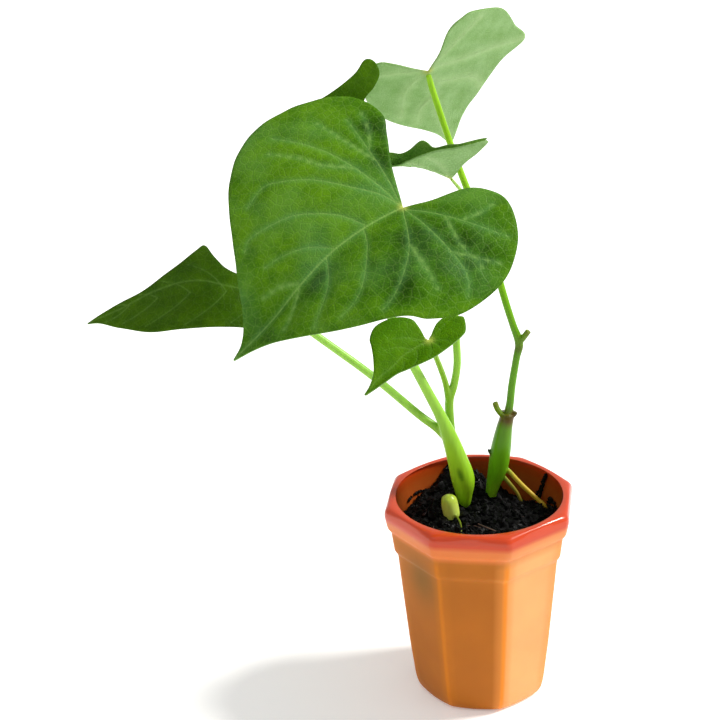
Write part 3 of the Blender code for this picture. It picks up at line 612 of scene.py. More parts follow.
def even_points(line, step):
    """Points along a polyline, spaced evenly and close to the step."""
    line = np.asarray(line, float)
    lengths = np.linalg.norm(np.diff(line, axis=0), axis=1)
    along = np.concatenate([[0.0], np.cumsum(lengths)])
    count = max(2, int(round(along[-1] / step)) + 1)
    wanted = np.linspace(0.0, along[-1], count)
    return np.stack([np.interp(wanted, along, line[:, i]) for i in range(line.shape[1])], axis=1)


def plain_mesh(item, name):
    """The evaluated mesh of an object, which is then removed."""
    bpy.context.view_layer.update()
    graph = bpy.context.evaluated_depsgraph_get()
    mesh = bpy.data.meshes.new_from_object(item.evaluated_get(graph))
    mesh.name = name
    item.modifiers.clear()
    bpy.data.objects.remove(item, do_unlink=True)
    return mesh


def group_tree(name, sizes):
    """A geometry tree with an input for its mesh and for each size, and those inputs' sockets."""
    tree = bpy.data.node_groups.new(name, "GeometryNodeTree")
    tree.interface.new_socket("Geometry", in_out="INPUT", socket_type="NodeSocketGeometry")
    for label, kind, default in sizes:
        socket = tree.interface.new_socket(label, in_out="INPUT", socket_type="NodeSocket" + kind)
        socket.default_value = default
    tree.interface.new_socket("Geometry", in_out="OUTPUT", socket_type="NodeSocketGeometry")
    return tree, tree.nodes.new("NodeGroupInput").outputs


def end_tree(tree, shape, material):
    """Ends a geometry tree with plain geometry in its material."""
    real = add_node(tree, "GeometryNodeRealizeInstances", 0, {"Geometry": shape})
    coated = add_node(tree, "GeometryNodeSetMaterial", 0, {"Geometry": real, "Material": material})
    tree.links.new(coated, tree.nodes.new("NodeGroupOutput").inputs["Geometry"])
    return tree


def add_tree(item, tree, values):
    """Puts a geometry tree on an object, with its inputs set by their identifiers."""
    modifier = item.modifiers.new(tree.name, "NODES")
    modifier.node_group = tree
    for socket in tree.interface.items_tree:
        if socket.item_type == "SOCKET" and socket.in_out == "INPUT" and socket.name in values:
            modifier[socket.identifier] = values[socket.name]


# Pot


def filleted(rows, radius, steps=3):
    """The profile with each bend eased by a short curve."""
    rows = np.asarray(rows, float)
    eased = [rows[0]]
    for before, here, after in zip(rows, rows[1:], rows[2:]):
        into = here - before
        out = after - here
        near = min(radius, 0.45 * np.linalg.norm(into[:2]), 0.45 * np.linalg.norm(out[:2]))
        start = here - into / np.linalg.norm(into[:2]) * near
        end = here + out / np.linalg.norm(out[:2]) * near
        for t in np.linspace(0.0, 1.0, steps):
            eased.append((1 - t) ** 2 * start + 2 * t * (1 - t) * here + t**2 * end)
    eased.append(rows[-1])
    return eased


def spaced(rows, step):
    """The profile with more rows in its long straight parts."""
    rows = np.asarray(rows, float)
    more = [rows[:1]]
    for a, b in zip(rows, rows[1:]):
        parts = max(1, int(np.linalg.norm((b - a)[:2]) / step))
        more.append(a + (b - a) * (np.arange(1, parts + 1) / parts)[:, None])
    return np.vstack(more)


def pot_angles():
    """Angles round the pot with how far each is from its corner, in degrees."""
    angles = []
    for middle in range(0, 360, 45):
        for i in range(SIDE_STEPS):
            off = -22.5 + CORNER_ARC + (45.0 - 2 * CORNER_ARC) * i / SIDE_STEPS
            angles.append((middle + off, 22.5 - abs(off)))
        for i in range(CORNER_STEPS):
            off = -CORNER_ARC + 2 * CORNER_ARC * i / CORNER_STEPS
            angles.append((middle + 22.5 + off, abs(off)))
    return angles


def pot_ring(corner_radius, height, roundness):
    """One ring of the pot: flat sides and rounded corners, or a circle where the roundness is 1."""
    half_side = math.radians(22.5)
    flat = corner_radius * math.cos(half_side)
    arc_middle = (flat - POT_CORNER_ROUNDING) / math.cos(half_side)
    circle = flat + POT_ROUND_SHARE * (corner_radius - flat)
    ring = []
    for angle, off_corner in pot_angles():
        off = math.radians(off_corner)
        if off_corner <= CORNER_ARC + 0.01:
            across = arc_middle * math.sin(off)
            radius = arc_middle * math.cos(off) + math.sqrt(POT_CORNER_ROUNDING**2 - across**2)
        else:
            radius = flat / math.cos(half_side - off)
        radius = corner_radius if roundness >= 1.0 else radius + (circle - radius) * roundness
        turned = math.radians(angle - 90.0 + POT_TURN)
        ring.append((radius * math.cos(turned), radius * math.sin(turned), height))
    return ring


def moulded_plastic(settings):
    """Polypropylene, injection moulded: satin, slightly see-through, so thin walls look lighter."""
    material, tree, shader = new_material("moulded_polypropylene")
    place = add_node(tree, "ShaderNodeTexCoord", "Object")
    height = add_node(tree, "ShaderNodeSeparateXYZ", "Z", {"Vector": place})
    share = add_node(tree, "ShaderNodeMapRange", "Result", (height, 0.0, POT_TONE_TOP * MM, 0.0, 1.0))
    stops = [(stop, getattr(settings, tone)) for stop, tone in POT_TONES]
    colour = set_stops(add_node(tree, "ShaderNodeValToRGB", "Color", {"Fac": share}), stops)
    # What the points carry, and the setting whose colour it brings: painted light on the lit side, the damp
    # stain, a painted glow at the corners and painted shade inside
    for name, tone in (("lit", "lit"), ("stain", "stain"), ("corner", "glow"), ("inner", "inner")):
        amount = add_node(tree, "ShaderNodeAttribute", "Fac", attribute_name=name)
        colour = laid_over(tree, colour, ((amount, getattr(settings, tone)),))
    clouds = add_node(tree, "ShaderNodeTexNoise", "Fac", {"Vector": place, "Scale": 60.0, "Detail": 4.0})
    overlay = {"Factor": 0.14, "A": colour, "B": clouds}
    # Mould polish leaves a faint ripple a few millimetres wide
    ripple = add_node(tree, "ShaderNodeTexNoise", "Fac", {"Vector": place, "Scale": 160.0, "Detail": 3.0})
    relief = {"Strength": 0.08, "Distance": 0.0003, "Height": ripple}
    look = {
        "Base Color": add_node(
            tree, "ShaderNodeMix", "Result", overlay, data_type="RGBA", blend_type="OVERLAY"
        ),
        "Normal": add_node(tree, "ShaderNodeBump", "Normal", relief),
        "Roughness": add_node(tree, "ShaderNodeMapRange", "Result", (share, 0.86, 0.93, 0.5, 0.3)),
        "Coat Weight": add_node(tree, "ShaderNodeMapRange", "Result", (share, 0.9, 0.96, 0.0, 0.6)),
        "Coat Roughness": 0.12,
        "Specular IOR Level": 0.18,
        "Subsurface Weight": 0.2,
        "Subsurface Radius": (1.0, 0.42, 0.14),
        "Subsurface Scale": 2.5 * MM,
    }
    set_inputs(tree, shader, look)
    return material


class VINE_OT_pot(bpy.types.Operator):
    """Build the eight-sided pot"""

    bl_idname = "vine.pot"
    bl_label = "Pot"

    def execute(self, context):
        rows = [(POT_FOOT_RADIUS, 0.0, 1.0)] + list(POT_OUTSIDE) + list(POT_INSIDE)
        profile = spaced(filleted(rows, FILLET), POT_RING_STEP)
        rings = [pot_ring(*row) for row in profile]
        count = len(rings[0])
        points = [(0.0, 0.0, 0.0), (0.0, 0.0, POT_FLOOR_TOP)] + [p for ring in rings for p in ring]
        faces = []
        last = 2 + (len(rings) - 1) * count
        for i in range(count):
            j = (i + 1) % count
            faces += [(0, 2 + j, 2 + i), (1, last + i, last + j)]
            for a in range(2, last, count):
                faces.append((a + i, a + j, a + count + j, a + count + i))
        mesh = mesh_from("pot_shell", points, faces, moulded_plastic(context.scene.vine_pot))
        outwards(mesh)
        lip = int(np.argmax([row[1] for row in profile]))
        outer = np.concatenate([[0.0, 0.0], np.repeat(np.arange(len(rings)) < lip, count)])
        places = np.array(points)
        height = places[:, 2]
        off = np.array([0.0, 0.0] + [off for _, off in pot_angles()] * len(rings))
        side = np.degrees(np.arctan2(places[:, 1], places[:, 0]))
        below = np.clip((BAND_FOOT - height) / 1.5, 0, 1) * outer
        # Painted light: the side towards the key is tinted towards the lit colour, less on the band and not
        # on the rim
        lit = LIT_AMOUNT * np.exp(-(((side - LIT_SIDE) / LIT_WIDTH) ** 8)) * outer
        lit *= 0.55 + 0.45 * np.clip((BAND_FOOT - height) / 2.0, 0, 1)
        lit *= np.clip(BAND_TOP - height, 0, 1)
        stain = np.linalg.norm((places - STAIN_PLACE) / STAIN_SPREAD, axis=1)
        # Painted glow along the rounded corners below the band, strongest at the front corner
        glow = np.where(np.abs(side - FRONT_CORNER) < FRONT_WIDTH, *GLOW_AMOUNTS)
        add_values(mesh, "lit", lit)
        add_values(mesh, "stain", STAIN_AMOUNT * np.exp(-(stain**2)) * below)
        add_values(mesh, "corner", glow * np.exp(-((off / GLOW_WIDTH) ** 2)) * below)
        # Painted shade on the inner wall, from 68 mm down
        inner = np.clip((INNER_TOP - height) / 1.5, 0, 1) * (1.0 - outer)
        add_values(mesh, "inner", INNER_AMOUNT * inner)
        finished_piece("pot_shell", mesh, "pot")
        return {"FINISHED"}


# Soil


def inner_radius(height):
    """Radius of the pot's round inside at a height."""
    rows = POT_INSIDE[::-1]
    return float(np.interp(height, [r[1] for r in rows], [r[0] for r in rows]))


def soil_height(x, y):
    """Height of the soil in millimetres, with lumps a few millimetres wide."""
    height = SOIL_LEVEL
    for rise, (cx, cy), spread in SOIL_SWELLS:
        height += rise * math.exp(-((x - cx) ** 2 + (y - cy) ** 2) / (2.0 * spread**2))
    lumps = noise.fractal(Vector((x * LUMP_SCALE, y * LUMP_SCALE, 3.7)), 0.9, 2.1, 4)
    ridges = abs(noise.noise(Vector((x * RIDGE_SCALE, y * RIDGE_SCALE, 9.1))))
    return height + LUMP_RISE * lumps - RIDGE_FALL * ridges + SOIL_LIFT


def damp_potting_soil(settings):
    """Peat-based potting soil, damp: nearly black crumbs with a wet glint on the lumps."""
    material, tree, shader = new_material("damp_potting_soil")
    place = add_node(tree, "ShaderNodeTexCoord", "Object")
    # Crumbs are about 1 mm, so the pattern repeats about every 1.2 mm
    grain = add_node(tree, "ShaderNodeTexNoise", "Fac", {"Vector": place, "Scale": 850.0, "Detail": 6.0})
    clumps = add_node(tree, "ShaderNodeTexNoise", "Fac", {"Vector": place, "Scale": 220.0, "Detail": 3.0})
    blend = add_node(tree, "ShaderNodeMath", 0, (grain, clumps), operation="MULTIPLY")
    colour = add_node(tree, "ShaderNodeValToRGB", "Color", {"Fac": blend})
    relief = {"Strength": 0.8, "Distance": 0.0005, "Height": grain}
    look = {
        "Base Color": set_stops(colour, ((0.12, settings.dark), (0.42, settings.light))),
        "Roughness": add_node(tree, "ShaderNodeMapRange", "Result", (clumps, 0.35, 0.65, 0.8, 0.34)),
        "Specular IOR Level": 0.12,
        "Normal": add_node(tree, "ShaderNodeBump", "Normal", relief),
    }
    set_inputs(tree, shader, look)
    return material


def dry_fibre(settings):
    """Coir and dead rootlets, teased out: dull brown threads that catch a little light."""
    material, tree, shader = new_material("dry_coir_fibre")
    place = add_node(tree, "ShaderNodeTexCoord", "Object")
    tone = add_node(tree, "ShaderNodeTexNoise", "Fac", {"Vector": place, "Scale": 300.0})
    colour = laid_over(tree, linear(FIBRE_SHADE), ((tone, settings.fibre),))
    set_inputs(tree, shader, {"Base Color": colour, "Roughness": 0.7})
    return material


def soil_mesh(material):
    """The soil's lumpy top with a plain skirt and floor, closed."""
    outer = inner_radius(SOIL_EDGE) - SOIL_WALL_GAP
    points = []
    for k in range(SOIL_RINGS, 0, -1):
        radius = outer * k / SOIL_RINGS
        for i in range(SOIL_SPOKES):
            angle = 2 * math.pi * (i + 0.5 * (k % 2)) / SOIL_SPOKES
            x, y = radius * math.cos(angle), radius * math.sin(angle)
            points.append((x, y, soil_height(x, y)))
    points.append((0.0, 0.0, soil_height(0.0, 0.0)))
    top_count = len(points)
    skirt = inner_radius(SOIL_SKIRT) - SOIL_WALL_GAP
    for i in range(SOIL_SPOKES):
        angle = 2 * math.pi * i / SOIL_SPOKES
        points.append((skirt * math.cos(angle), skirt * math.sin(angle), SOIL_SKIRT))
    points.append((0.0, 0.0, SOIL_SKIRT))
    faces = []
    last = (SOIL_RINGS - 1) * SOIL_SPOKES
    for i in range(SOIL_SPOKES):
        j = (i + 1) % SOIL_SPOKES
        for a in range(0, last, SOIL_SPOKES):
            faces.append((a + i, a + j, a + SOIL_SPOKES + j, a + SOIL_SPOKES + i))
        faces.append((last + i, last + j, top_count - 1))
        faces.append((top_count + i, top_count + j, j, i))
        faces.append((len(points) - 1, top_count + j, top_count + i))
    mesh = mesh_from("soil_bed", points, faces, material)
    outwards(mesh)
    from_middle = np.hypot(*np.array(points)[:, :2].T)
    upper = np.arange(len(points)) < top_count
    add_values(mesh, "top", upper & (from_middle < outer - CRUMB_MARGIN))
    add_values(mesh, "middle", upper & (from_middle < outer - FIBRE_MARGIN))
    return mesh


def wall_patches(material):
    """Strips on the pot's inner wall where soil clings."""
    points, faces = [], []
    for line in WALL_SOIL:
        first = len(points)
        for angle, height, half_width in catmull_rom(line, 4):
            radius = inner_radius(height) - WALL_SOIL_GAP
            for off in (-half_width, half_width):
                turned = math.radians(angle) + off / radius
                points.append((radius * math.cos(turned), radius * math.sin(turned), height))
        faces += [(i, i + 1, i + 3, i + 2) for i in range(first, len(points) - 2, 2)]
    mesh = mesh_from("wall_soil", points, faces, material)
    add_values(mesh, "top", np.ones(len(points)))
    return mesh


def scattered(tree, given, shape, turn, scale, material):
    """Sets the shape on points over the marked part of the ground, turned and scaled, as plain mesh."""
    where = {"Name": given["Where"]}
    marked = add_node(tree, "GeometryNodeInputNamedAttribute", "Attribute", where, data_type="FLOAT")
    spread = {
        "Mesh": given["Geometry"],
        "Selection": marked,
        "Density": given["Pieces per square metre"],
        "Seed": given["Seed"],
    }
    points = add_node(
        tree, "GeometryNodeDistributePointsOnFaces", "Points", spread, distribute_method="RANDOM"
    )
    seats = {"Points": points, "Instance": shape, "Rotation": turn, "Scale": scale}
    return end_tree(tree, add_node(tree, "GeometryNodeInstanceOnPoints", "Instances", seats), material)


def crumb_tree(material):
    """Scatters turned, squashed crumbs over the soil."""
    tree, given = group_tree("soil_crumbs", SCATTER_INPUTS)
    ball = add_node(tree, "GeometryNodeMeshIcoSphere", "Mesh", {"Radius": 0.5, "Subdivisions": 1})
    seat = add_node(tree, "GeometryNodeInputPosition", "Position")
    uneven = add_node(tree, "ShaderNodeTexNoise", "Color", {"Vector": seat, "Scale": 1.7, "Detail": 1.0})
    shifted = add_node(tree, "ShaderNodeVectorMath", 0, (uneven, (0.5, 0.5, 0.5)), operation="SUBTRACT")
    lumpy = add_node(tree, "GeometryNodeSetPosition", "Geometry", {"Geometry": ball, "Offset": shifted})
    turns = {0: (0, 0, 0), 1: (6.28, 6.28, 6.28), "Seed": 3}
    turn = add_node(tree, "FunctionNodeRandomValue", 0, turns, data_type="FLOAT_VECTOR")
    shares = {0: (0.3, 0.3, 0.3), 1: (1.25, 1.25, 0.9), "Seed": 5}
    share = add_node(tree, "FunctionNodeRandomValue", 0, shares, data_type="FLOAT_VECTOR")
    size = {0: share, "Scale": given["Size"]}
    scale = add_node(tree, "ShaderNodeVectorMath", 0, size, operation="SCALE")
    return scattered(tree, given, lumpy, turn, scale, material)


def fibre_tree(material):
    """Lays short bent threads on the soil."""
    tree, given = group_tree("soil_fibres", SCATTER_INPUTS)
    bend = {"Resolution": 6, "Start": (-0.5, 0, 0), "Middle": (0.05, 0.25, 0.12), "End": (0.5, 0, 0.02)}
    thread = add_node(tree, "GeometryNodeCurveQuadraticBezier", "Curve", bend)
    round_wire = {"Resolution": 5, "Radius": 0.025}
    ring = add_node(tree, "GeometryNodeCurvePrimitiveCircle", "Curve", round_wire)
    sweep = {"Curve": thread, "Profile Curve": ring, "Fill Caps": True}
    tube = add_node(tree, "GeometryNodeCurveToMesh", "Mesh", sweep)
    turns = {0: (-0.2, -0.2, 0), 1: (0.2, 0.2, 6.28), "Seed": 2}
    turn = add_node(tree, "FunctionNodeRandomValue", 0, turns, data_type="FLOAT_VECTOR")
    shares = {2: 0.4, 3: 1.2, "Seed": 6}
    share = add_node(tree, "FunctionNodeRandomValue", 1, shares, data_type="FLOAT")
    scale = add_node(tree, "ShaderNodeMath", 0, (share, given["Size"]), operation="MULTIPLY")
    return scattered(tree, given, tube, turn, scale, material)


class VINE_OT_soil(bpy.types.Operator):
    """Build the soil, its crumbs and its fibres"""

    bl_idname = "vine.soil"
    bl_label = "Soil"

    def execute(self, context):
        settings = context.scene.vine_soil
        earth = damp_potting_soil(settings)
        bed = soil_mesh(earth)
        crumbs = crumb_tree(earth)
        fibres = fibre_tree(dry_fibre(settings))
        crumb = settings.crumb
        density = settings.density / MM**2
        # Piece, ground, tree, where it lies, size and number on a square metre
        layers = (
            ("soil_crumbs", bed, crumbs, "top", crumb, density),
            ("soil_lumps", bed, crumbs, "middle", 2.6 * crumb, 0.12 * density),
            ("soil_on_wall", wall_patches(earth), crumbs, "top", 0.8 * crumb, 7.0 * density),
            ("soil_fibres", bed, fibres, "middle", FIBRE_LENGTH * MM, FIBRE_DENSITY / MM**2),
        )
        for name, ground, tree, where, size, number in layers:
            carrier = placed_object(name + "_carrier", ground.copy())
            values = {"Where": where, "Size": size, "Pieces per square metre": number}
            add_tree(carrier, tree, {**values, "Seed": settings.seed})
            finished_piece(name, plain_mesh(carrier, name), None, smooth=False)
        straw = swept_runs("soil_straw", (STRAW,), dry_fibre(settings), STRAW_VOXEL * MM)
        finished_piece("soil_straw", straw, None)
        finished_piece("soil_bed", bed, "soil")
        return {"FINISHED"}


# Stems


def tube_tree(material):
    """Sweeps a ring along each run, as thick as the run's own radius, and closes its ends."""
    tree, given = group_tree("swept_stem", (("Sides", "Int", 20),))
    round_run = {"Resolution": given["Sides"], "Radius": 1.0}
    ring = add_node(tree, "GeometryNodeCurvePrimitiveCircle", "Curve", round_run)
    thickness = add_node(tree, "GeometryNodeInputRadius", "Radius")
    sweep = {"Curve": given["Geometry"], "Profile Curve": ring, "Scale": thickness, "Fill Caps": True}
    tube = add_node(tree, "GeometryNodeCurveToMesh", "Mesh", sweep)
    return end_tree(tree, tube, material)


def swept_runs(name, runs, material, voxel):
    """One skin over all the runs of a stem, blended where they join."""
    curve = bpy.data.curves.new(name, "CURVE")
    curve.dimensions = "3D"
    for rows in runs:
        smooth = catmull_rom(rows, RUN_STEPS) * MM
        spline = curve.splines.new("POLY")
        spline.points.add(len(smooth) - 1)
        for point, (x, y, z, radius) in zip(spline.points, smooth):
            point.co = (x, y, z, 1.0)
            point.radius = radius
    carrier = placed_object(name + "_runs", curve)
    add_tree(carrier, tube_tree(material), {"Sides": 20})
    carrier = placed_object(name + "_skin", plain_mesh(carrier, name))
    skin = carrier.modifiers.new("skin", "REMESH")
    skin.mode = "VOXEL"
    skin.voxel_size = voxel
    ease = carrier.modifiers.new("ease", "SMOOTH")
    ease.factor = 0.5
    ease.iterations = 5
    mesh = plain_mesh(carrier, name)
    mesh.materials.clear()
    mesh.materials.append(material)
    return mesh


def tint_stem(mesh, coloured_runs, shade_marks):
    """Colours each point like the runs whose skin it lies on, at its height, and adds painted shade at the
    marks.
    """
    samples, colours = [], []
    for rows, stops in coloured_runs:
        line = catmull_rom(rows, RUN_STEPS)
        shades = np.array([linear(c)[:3] for _, c in stops])
        heights = [h for h, _ in stops]
        samples.append(line)
        colours.append(np.stack([np.interp(line[:, 2], heights, shade) for shade in shades.T], axis=1))
    samples = np.vstack(samples)
    colours = np.vstack(colours)
    flat = np.empty(len(mesh.vertices) * 3, np.float32)
    mesh.vertices.foreach_get("co", flat)
    points = flat.reshape(-1, 3).astype(float) / MM
    tints = np.zeros((len(points), 3))
    for start in range(0, len(points), POINT_BATCH):
        part = points[start : start + POINT_BATCH]
        gaps = np.linalg.norm(part[:, None, :] - samples[None, :, :3], axis=2)
        weights = np.exp(-(((gaps - samples[:, 3]) / SKIN_REACH) ** 2)) + 1e-6 * np.exp(-gaps)
        tints[start : start + POINT_BATCH] = weights @ colours / weights.sum(axis=1)[:, None]
    # Painted shade of the slit: the skin darkens round each mark
    dark = np.array(linear(SLIT_SHADE_COLOUR)[:3])
    for x, y, z, width in shade_marks:
        gap = np.linalg.norm(points - (x, y, z), axis=1)
        share = SLIT_SHADE_AMOUNT * np.exp(-((gap / width) ** 2))[:, None]
        tints = tints * (1.0 - share) + dark * share
    layer = mesh.attributes.new("tint", "FLOAT_COLOR", "POINT")
    layer.data.foreach_set("color", np.hstack([tints, np.ones((len(tints), 1))]).astype(np.float32).ravel())


def living_stem(name, settings):
    """Fresh stem tissue, grown: a smooth moist skin, faintly streaked along its length."""
    material, tree, shader = new_material(name)
    tint = add_node(tree, "ShaderNodeAttribute", "Color", attribute_name="tint")
    place = add_node(tree, "ShaderNodeTexCoord", "Object")
    # Streaks are about a millimetre wide and eight times as long
    drawn = add_node(tree, "ShaderNodeMapping", "Vector", {"Vector": place, "Scale": (1.0, 1.0, 0.12)})
    streaks = add_node(tree, "ShaderNodeTexNoise", "Fac", {"Vector": drawn, "Scale": 900.0, "Detail": 3.0})
    share = add_node(tree, "ShaderNodeMapRange", "Result", (streaks, 0.45, 0.75, 0.0, 0.25))
    relief = {"Strength": 0.2, "Distance": 0.0002, "Height": streaks}
    look = {
        "Base Color": laid_over(tree, tint, ((share, settings.shade),)),
        "Normal": add_node(tree, "ShaderNodeBump", "Normal", relief),
        "Roughness": 0.3,
        "IOR": 1.42,
        "Specular IOR Level": 0.3,
        "Subsurface Weight": 0.15,
        "Subsurface Radius": (0.7, 1.0, 0.2),
        "Subsurface Scale": 1.0 * MM,
    }
    set_inputs(tree, shader, look)
    return material


class VINE_OT_stems(bpy.types.Operator):
    """Build the stems, leaf stalks, roots and the pale shoot"""

    bl_idname = "vine.stems"
    bl_label = "Stems"

    def execute(self, context):
        settings = context.scene.vine_stems
        for name, (node, slot, runs, shade_marks) in STEMS.items():
            material = living_stem("living_" + name, settings)
            mesh = swept_runs(name, [rows for rows, _ in runs], material, settings.voxel)
            tint_stem(mesh, runs, shade_marks)
            finished_piece(name, mesh, node)
        return {"FINISHED"}


# Leaves


def leaf_axes(yaw, pitch, roll):
    """Unit vectors along the midrib, to the leaf's left and out of its upper face."""
    yaw, pitch, roll = (math.radians(a) for a in (yaw, pitch, roll))
    flat = math.cos(pitch)
    along = np.array([math.cos(yaw) * flat, math.sin(yaw) * flat, math.sin(pitch)])
    level = np.array([-math.sin(yaw), math.cos(yaw), 0.0])
    lifted = np.cross(along, level)
    left = level * math.cos(roll) + lifted * math.sin(roll)
    return along, left, np.cross(along, left)


def summed(length, parts=24):
    """Mid-points and step of equal parts from zero to each length."""
    step = length[..., None] / parts
    return (np.arange(parts) + 0.5) * step, step


def leaf_surface(leaf, u, v):
    """Point of the bent blade for each place (u along the midrib, v to the left) of the flat one."""
    u = np.asarray(u, float)
    v = np.asarray(v, float)
    along, left, out = leaf_axes(*leaf["aim"])
    length = leaf["length"]
    place, step = summed(u)
    fall = -np.radians(leaf["droop"]) * np.clip(place, 0.0, None) / length
    turn = np.radians(leaf.get("sweep", 0.0)) * np.clip(place, 0.0, None) / length
    forward = (np.cos(fall) * np.cos(turn) * step).sum(-1)
    sideways = (np.sin(turn) * step).sum(-1)
    upward = (np.sin(fall) * np.cos(turn) * step).sum(-1)
    end_fall = -np.radians(leaf["droop"]) * np.clip(u, 0.0, None) / length
    normal = np.cos(end_fall)[..., None] * out - np.sin(end_fall)[..., None] * along
    place, step = summed(np.abs(v))
    reach = np.zeros_like(u)
    rise = np.zeros_like(u)
    for half, chosen in ((leaf["left"], v >= 0.0), (leaf["right"], v < 0.0)):
        angle = half["fold"] + half.get("fold_growth", 0.0) * u[..., None] / length
        angle = np.radians(angle + half["bow"] * place / leaf["half_width"])
        reach = np.where(chosen, (np.cos(angle) * step).sum(-1), reach)
        rise = np.where(chosen, (np.sin(angle) * step).sum(-1), rise)
    reach = np.where(v >= 0.0, reach, -reach)
    point = np.array(leaf["base"]) + forward[..., None] * along
    point = point + (sideways + reach)[..., None] * left + upward[..., None] * out
    return point + rise[..., None] * normal


def leaf_outline(leaf, steps):
    """Flat outline from the joint with the stalk round the left half to the tip and back."""
    joint, tip = (0.0, 0.0), (leaf["length"], 0.0)
    left = catmull_rom((joint,) + leaf["left_outline"] + (tip,), steps)
    right = catmull_rom((joint,) + leaf["right_outline"] + (tip,), steps) * np.array([1.0, -1.0])
    return np.vstack([left, right[-2:0:-1]])


def inside(outline, points):
    """Which points lie inside a closed outline."""
    x, y = points[:, 0, None], points[:, 1, None]
    ax, ay = outline[:, 0], outline[:, 1]
    bx, by = np.roll(ax, -1), np.roll(ay, -1)
    crosses = (ay > y) != (by > y)
    rise = np.where(np.abs(by - ay) < 1e-12, 1e-12, by - ay)
    return (crosses & (x < (bx - ax) * (y - ay) / rise + ax)).sum(axis=1) % 2 == 1


def away_from(points, line_points):
    """Distance from each point to the nearest of some others."""
    nearest = np.full(len(points), 1e9)
    for start in range(0, len(line_points), 400):
        part = line_points[start : start + 400]
        gaps = np.linalg.norm(points[:, None, :] - part[None, :, :], axis=2)
        nearest = np.minimum(nearest, gaps.min(axis=1))
    return nearest


def reach_to_edge(outline, start, angle):
    """How far a straight line from a place on the flat leaf runs before it meets the edge."""
    steps = np.arange(0.5, 70.0, 0.5)
    ray = np.array(start) + steps[:, None] * np.array([math.cos(angle), math.sin(angle)])
    outside = ~inside(outline, ray)
    return float(steps[outside][0]) if outside.any() else 10.0


def leaf_veins(name, leaf, outline):
    """Veins as (half width, points): the measured ones, and a rule on the sides without any."""
    length = leaf["length"]
    scale = 0.5 + 0.5 * length / 69.0
    straight = ((MIDRIB_WIDTH * scale, ((0.0, 0.0), (0.5 * length, 0.0), (0.985 * length, 0.0))),)
    veins = [(width, catmull_rom(places, 5)) for width, places in LEAF_VEINS.get(name, straight)]
    for share, degrees in SIDE_VEINS:
        for side in RULED_SIDES.get(name, ()):
            start = np.array([share * length, 0.0])
            out = math.radians(degrees) * side
            ahead = math.radians(degrees - VEIN_BEND) * side
            free = reach_to_edge(outline, start + 0.01, out)
            far = reach_to_edge(outline, start + 0.01, ahead)
            if free < 2.0:
                continue
            middle = start + 0.5 * free * np.array([math.cos(out), math.sin(out)])
            end = start + VEIN_END * min(far, 1.3 * free) * np.array([math.cos(ahead), math.sin(ahead)])
            t = np.linspace(0, 1, 9)[:, None]
            line = (1 - t) ** 2 * start + 2 * t * (1 - t) * middle + t**2 * end
            veins.append((SIDE_VEIN_WIDTH * scale, line))
    return veins


def vein_depth(points, veins):
    """How strongly each flat place is vein, from 0 to 1, and its distance from the nearest vein."""
    strength = np.zeros(len(points))
    nearest = np.full(len(points), 1e9)
    for width, line in veins:
        dense = even_points(line, 0.25)
        taper = np.linspace(1.0, 0.35, len(dense))
        for start in range(0, len(dense), 200):
            part = dense[start : start + 200]
            gaps = np.linalg.norm(points[:, None, :] - part[None, :, :], axis=2)
            best = gaps.argmin(axis=1)
            gap = gaps[np.arange(len(points)), best]
            wide = width * taper[start : start + 200][best]
            strength = np.maximum(strength, np.clip(1.0 - gap / wide, 0, 1) * (wide / 0.75) ** 0.35)
            nearest = np.minimum(nearest, gap)
    return strength, nearest


def blade_layout(name, leaf):
    """Flat points and triangles of a blade, with edges that follow its outline and veins."""
    closed = leaf_outline(leaf, OUTLINE_STEPS)
    outline = even_points(np.vstack([closed, closed[:1]]), EDGE_STEP)[:-1]
    veins = leaf_veins(name, leaf, outline)
    fixed = [outline]
    edges = []
    first = len(outline)
    for width, line in veins:
        middle = even_points(line, VEIN_STEP)
        along = np.gradient(middle, axis=0)
        along /= np.linalg.norm(along, axis=1)[:, None] + 1e-9
        aside = np.stack([-along[:, 1], along[:, 0]], axis=1)
        for shift in (0.0, width, -width):
            line_points = middle + aside * shift
            line_points = line_points[inside(outline, line_points)]
            line_points = line_points[away_from(line_points, outline) > EDGE_CLEAR]
            if len(fixed) > 1:
                line_points = line_points[away_from(line_points, np.vstack(fixed[1:])) > VEIN_CLEAR]
            if len(line_points) < 2:
                continue
            fixed.append(line_points)
            if shift == 0.0:
                gaps = np.linalg.norm(np.diff(line_points, axis=0), axis=1)
                edges += [(first + i, first + i + 1) for i in np.flatnonzero(gaps < 2 * VEIN_STEP).tolist()]
            first += len(line_points)
    step = BLADE_STEP.get(name, BLADE_STEP_OTHERS)
    low, high = outline.min(axis=0), outline.max(axis=0)
    rng = np.random.default_rng(GRID_SEED)
    filler = []
    for k, y in enumerate(np.arange(low[1], high[1], step * 0.87)):
        xs = np.arange(low[0] + 0.5 * step * (k % 2), high[0], step)
        filler.append(np.stack([xs, np.full(len(xs), y)], axis=1))
    filler = np.vstack(filler)
    filler += rng.uniform(-GRID_JITTER, GRID_JITTER, filler.shape) * step
    filler = filler[inside(outline, filler)]
    filler = filler[away_from(filler, np.vstack(fixed)) > 0.5 * step]
    flat = np.vstack(fixed + [filler])
    made = geometry.delaunay_2d_cdt(
        [Vector(p) for p in flat.tolist()], edges, [list(range(len(outline)))], 1, 1e-5
    )
    places = np.array([tuple(p) for p in made[0]])
    return places, [tuple(f) for f in made[2]], outline, veins


def rim_edges(faces):
    """Edges used by one triangle only, in that triangle's order."""
    used = {}
    for face in faces:
        for a, b in zip(face, face[1:] + face[:1]):
            used[(a, b)] = True
    return [edge for edge in used if (edge[1], edge[0]) not in used]


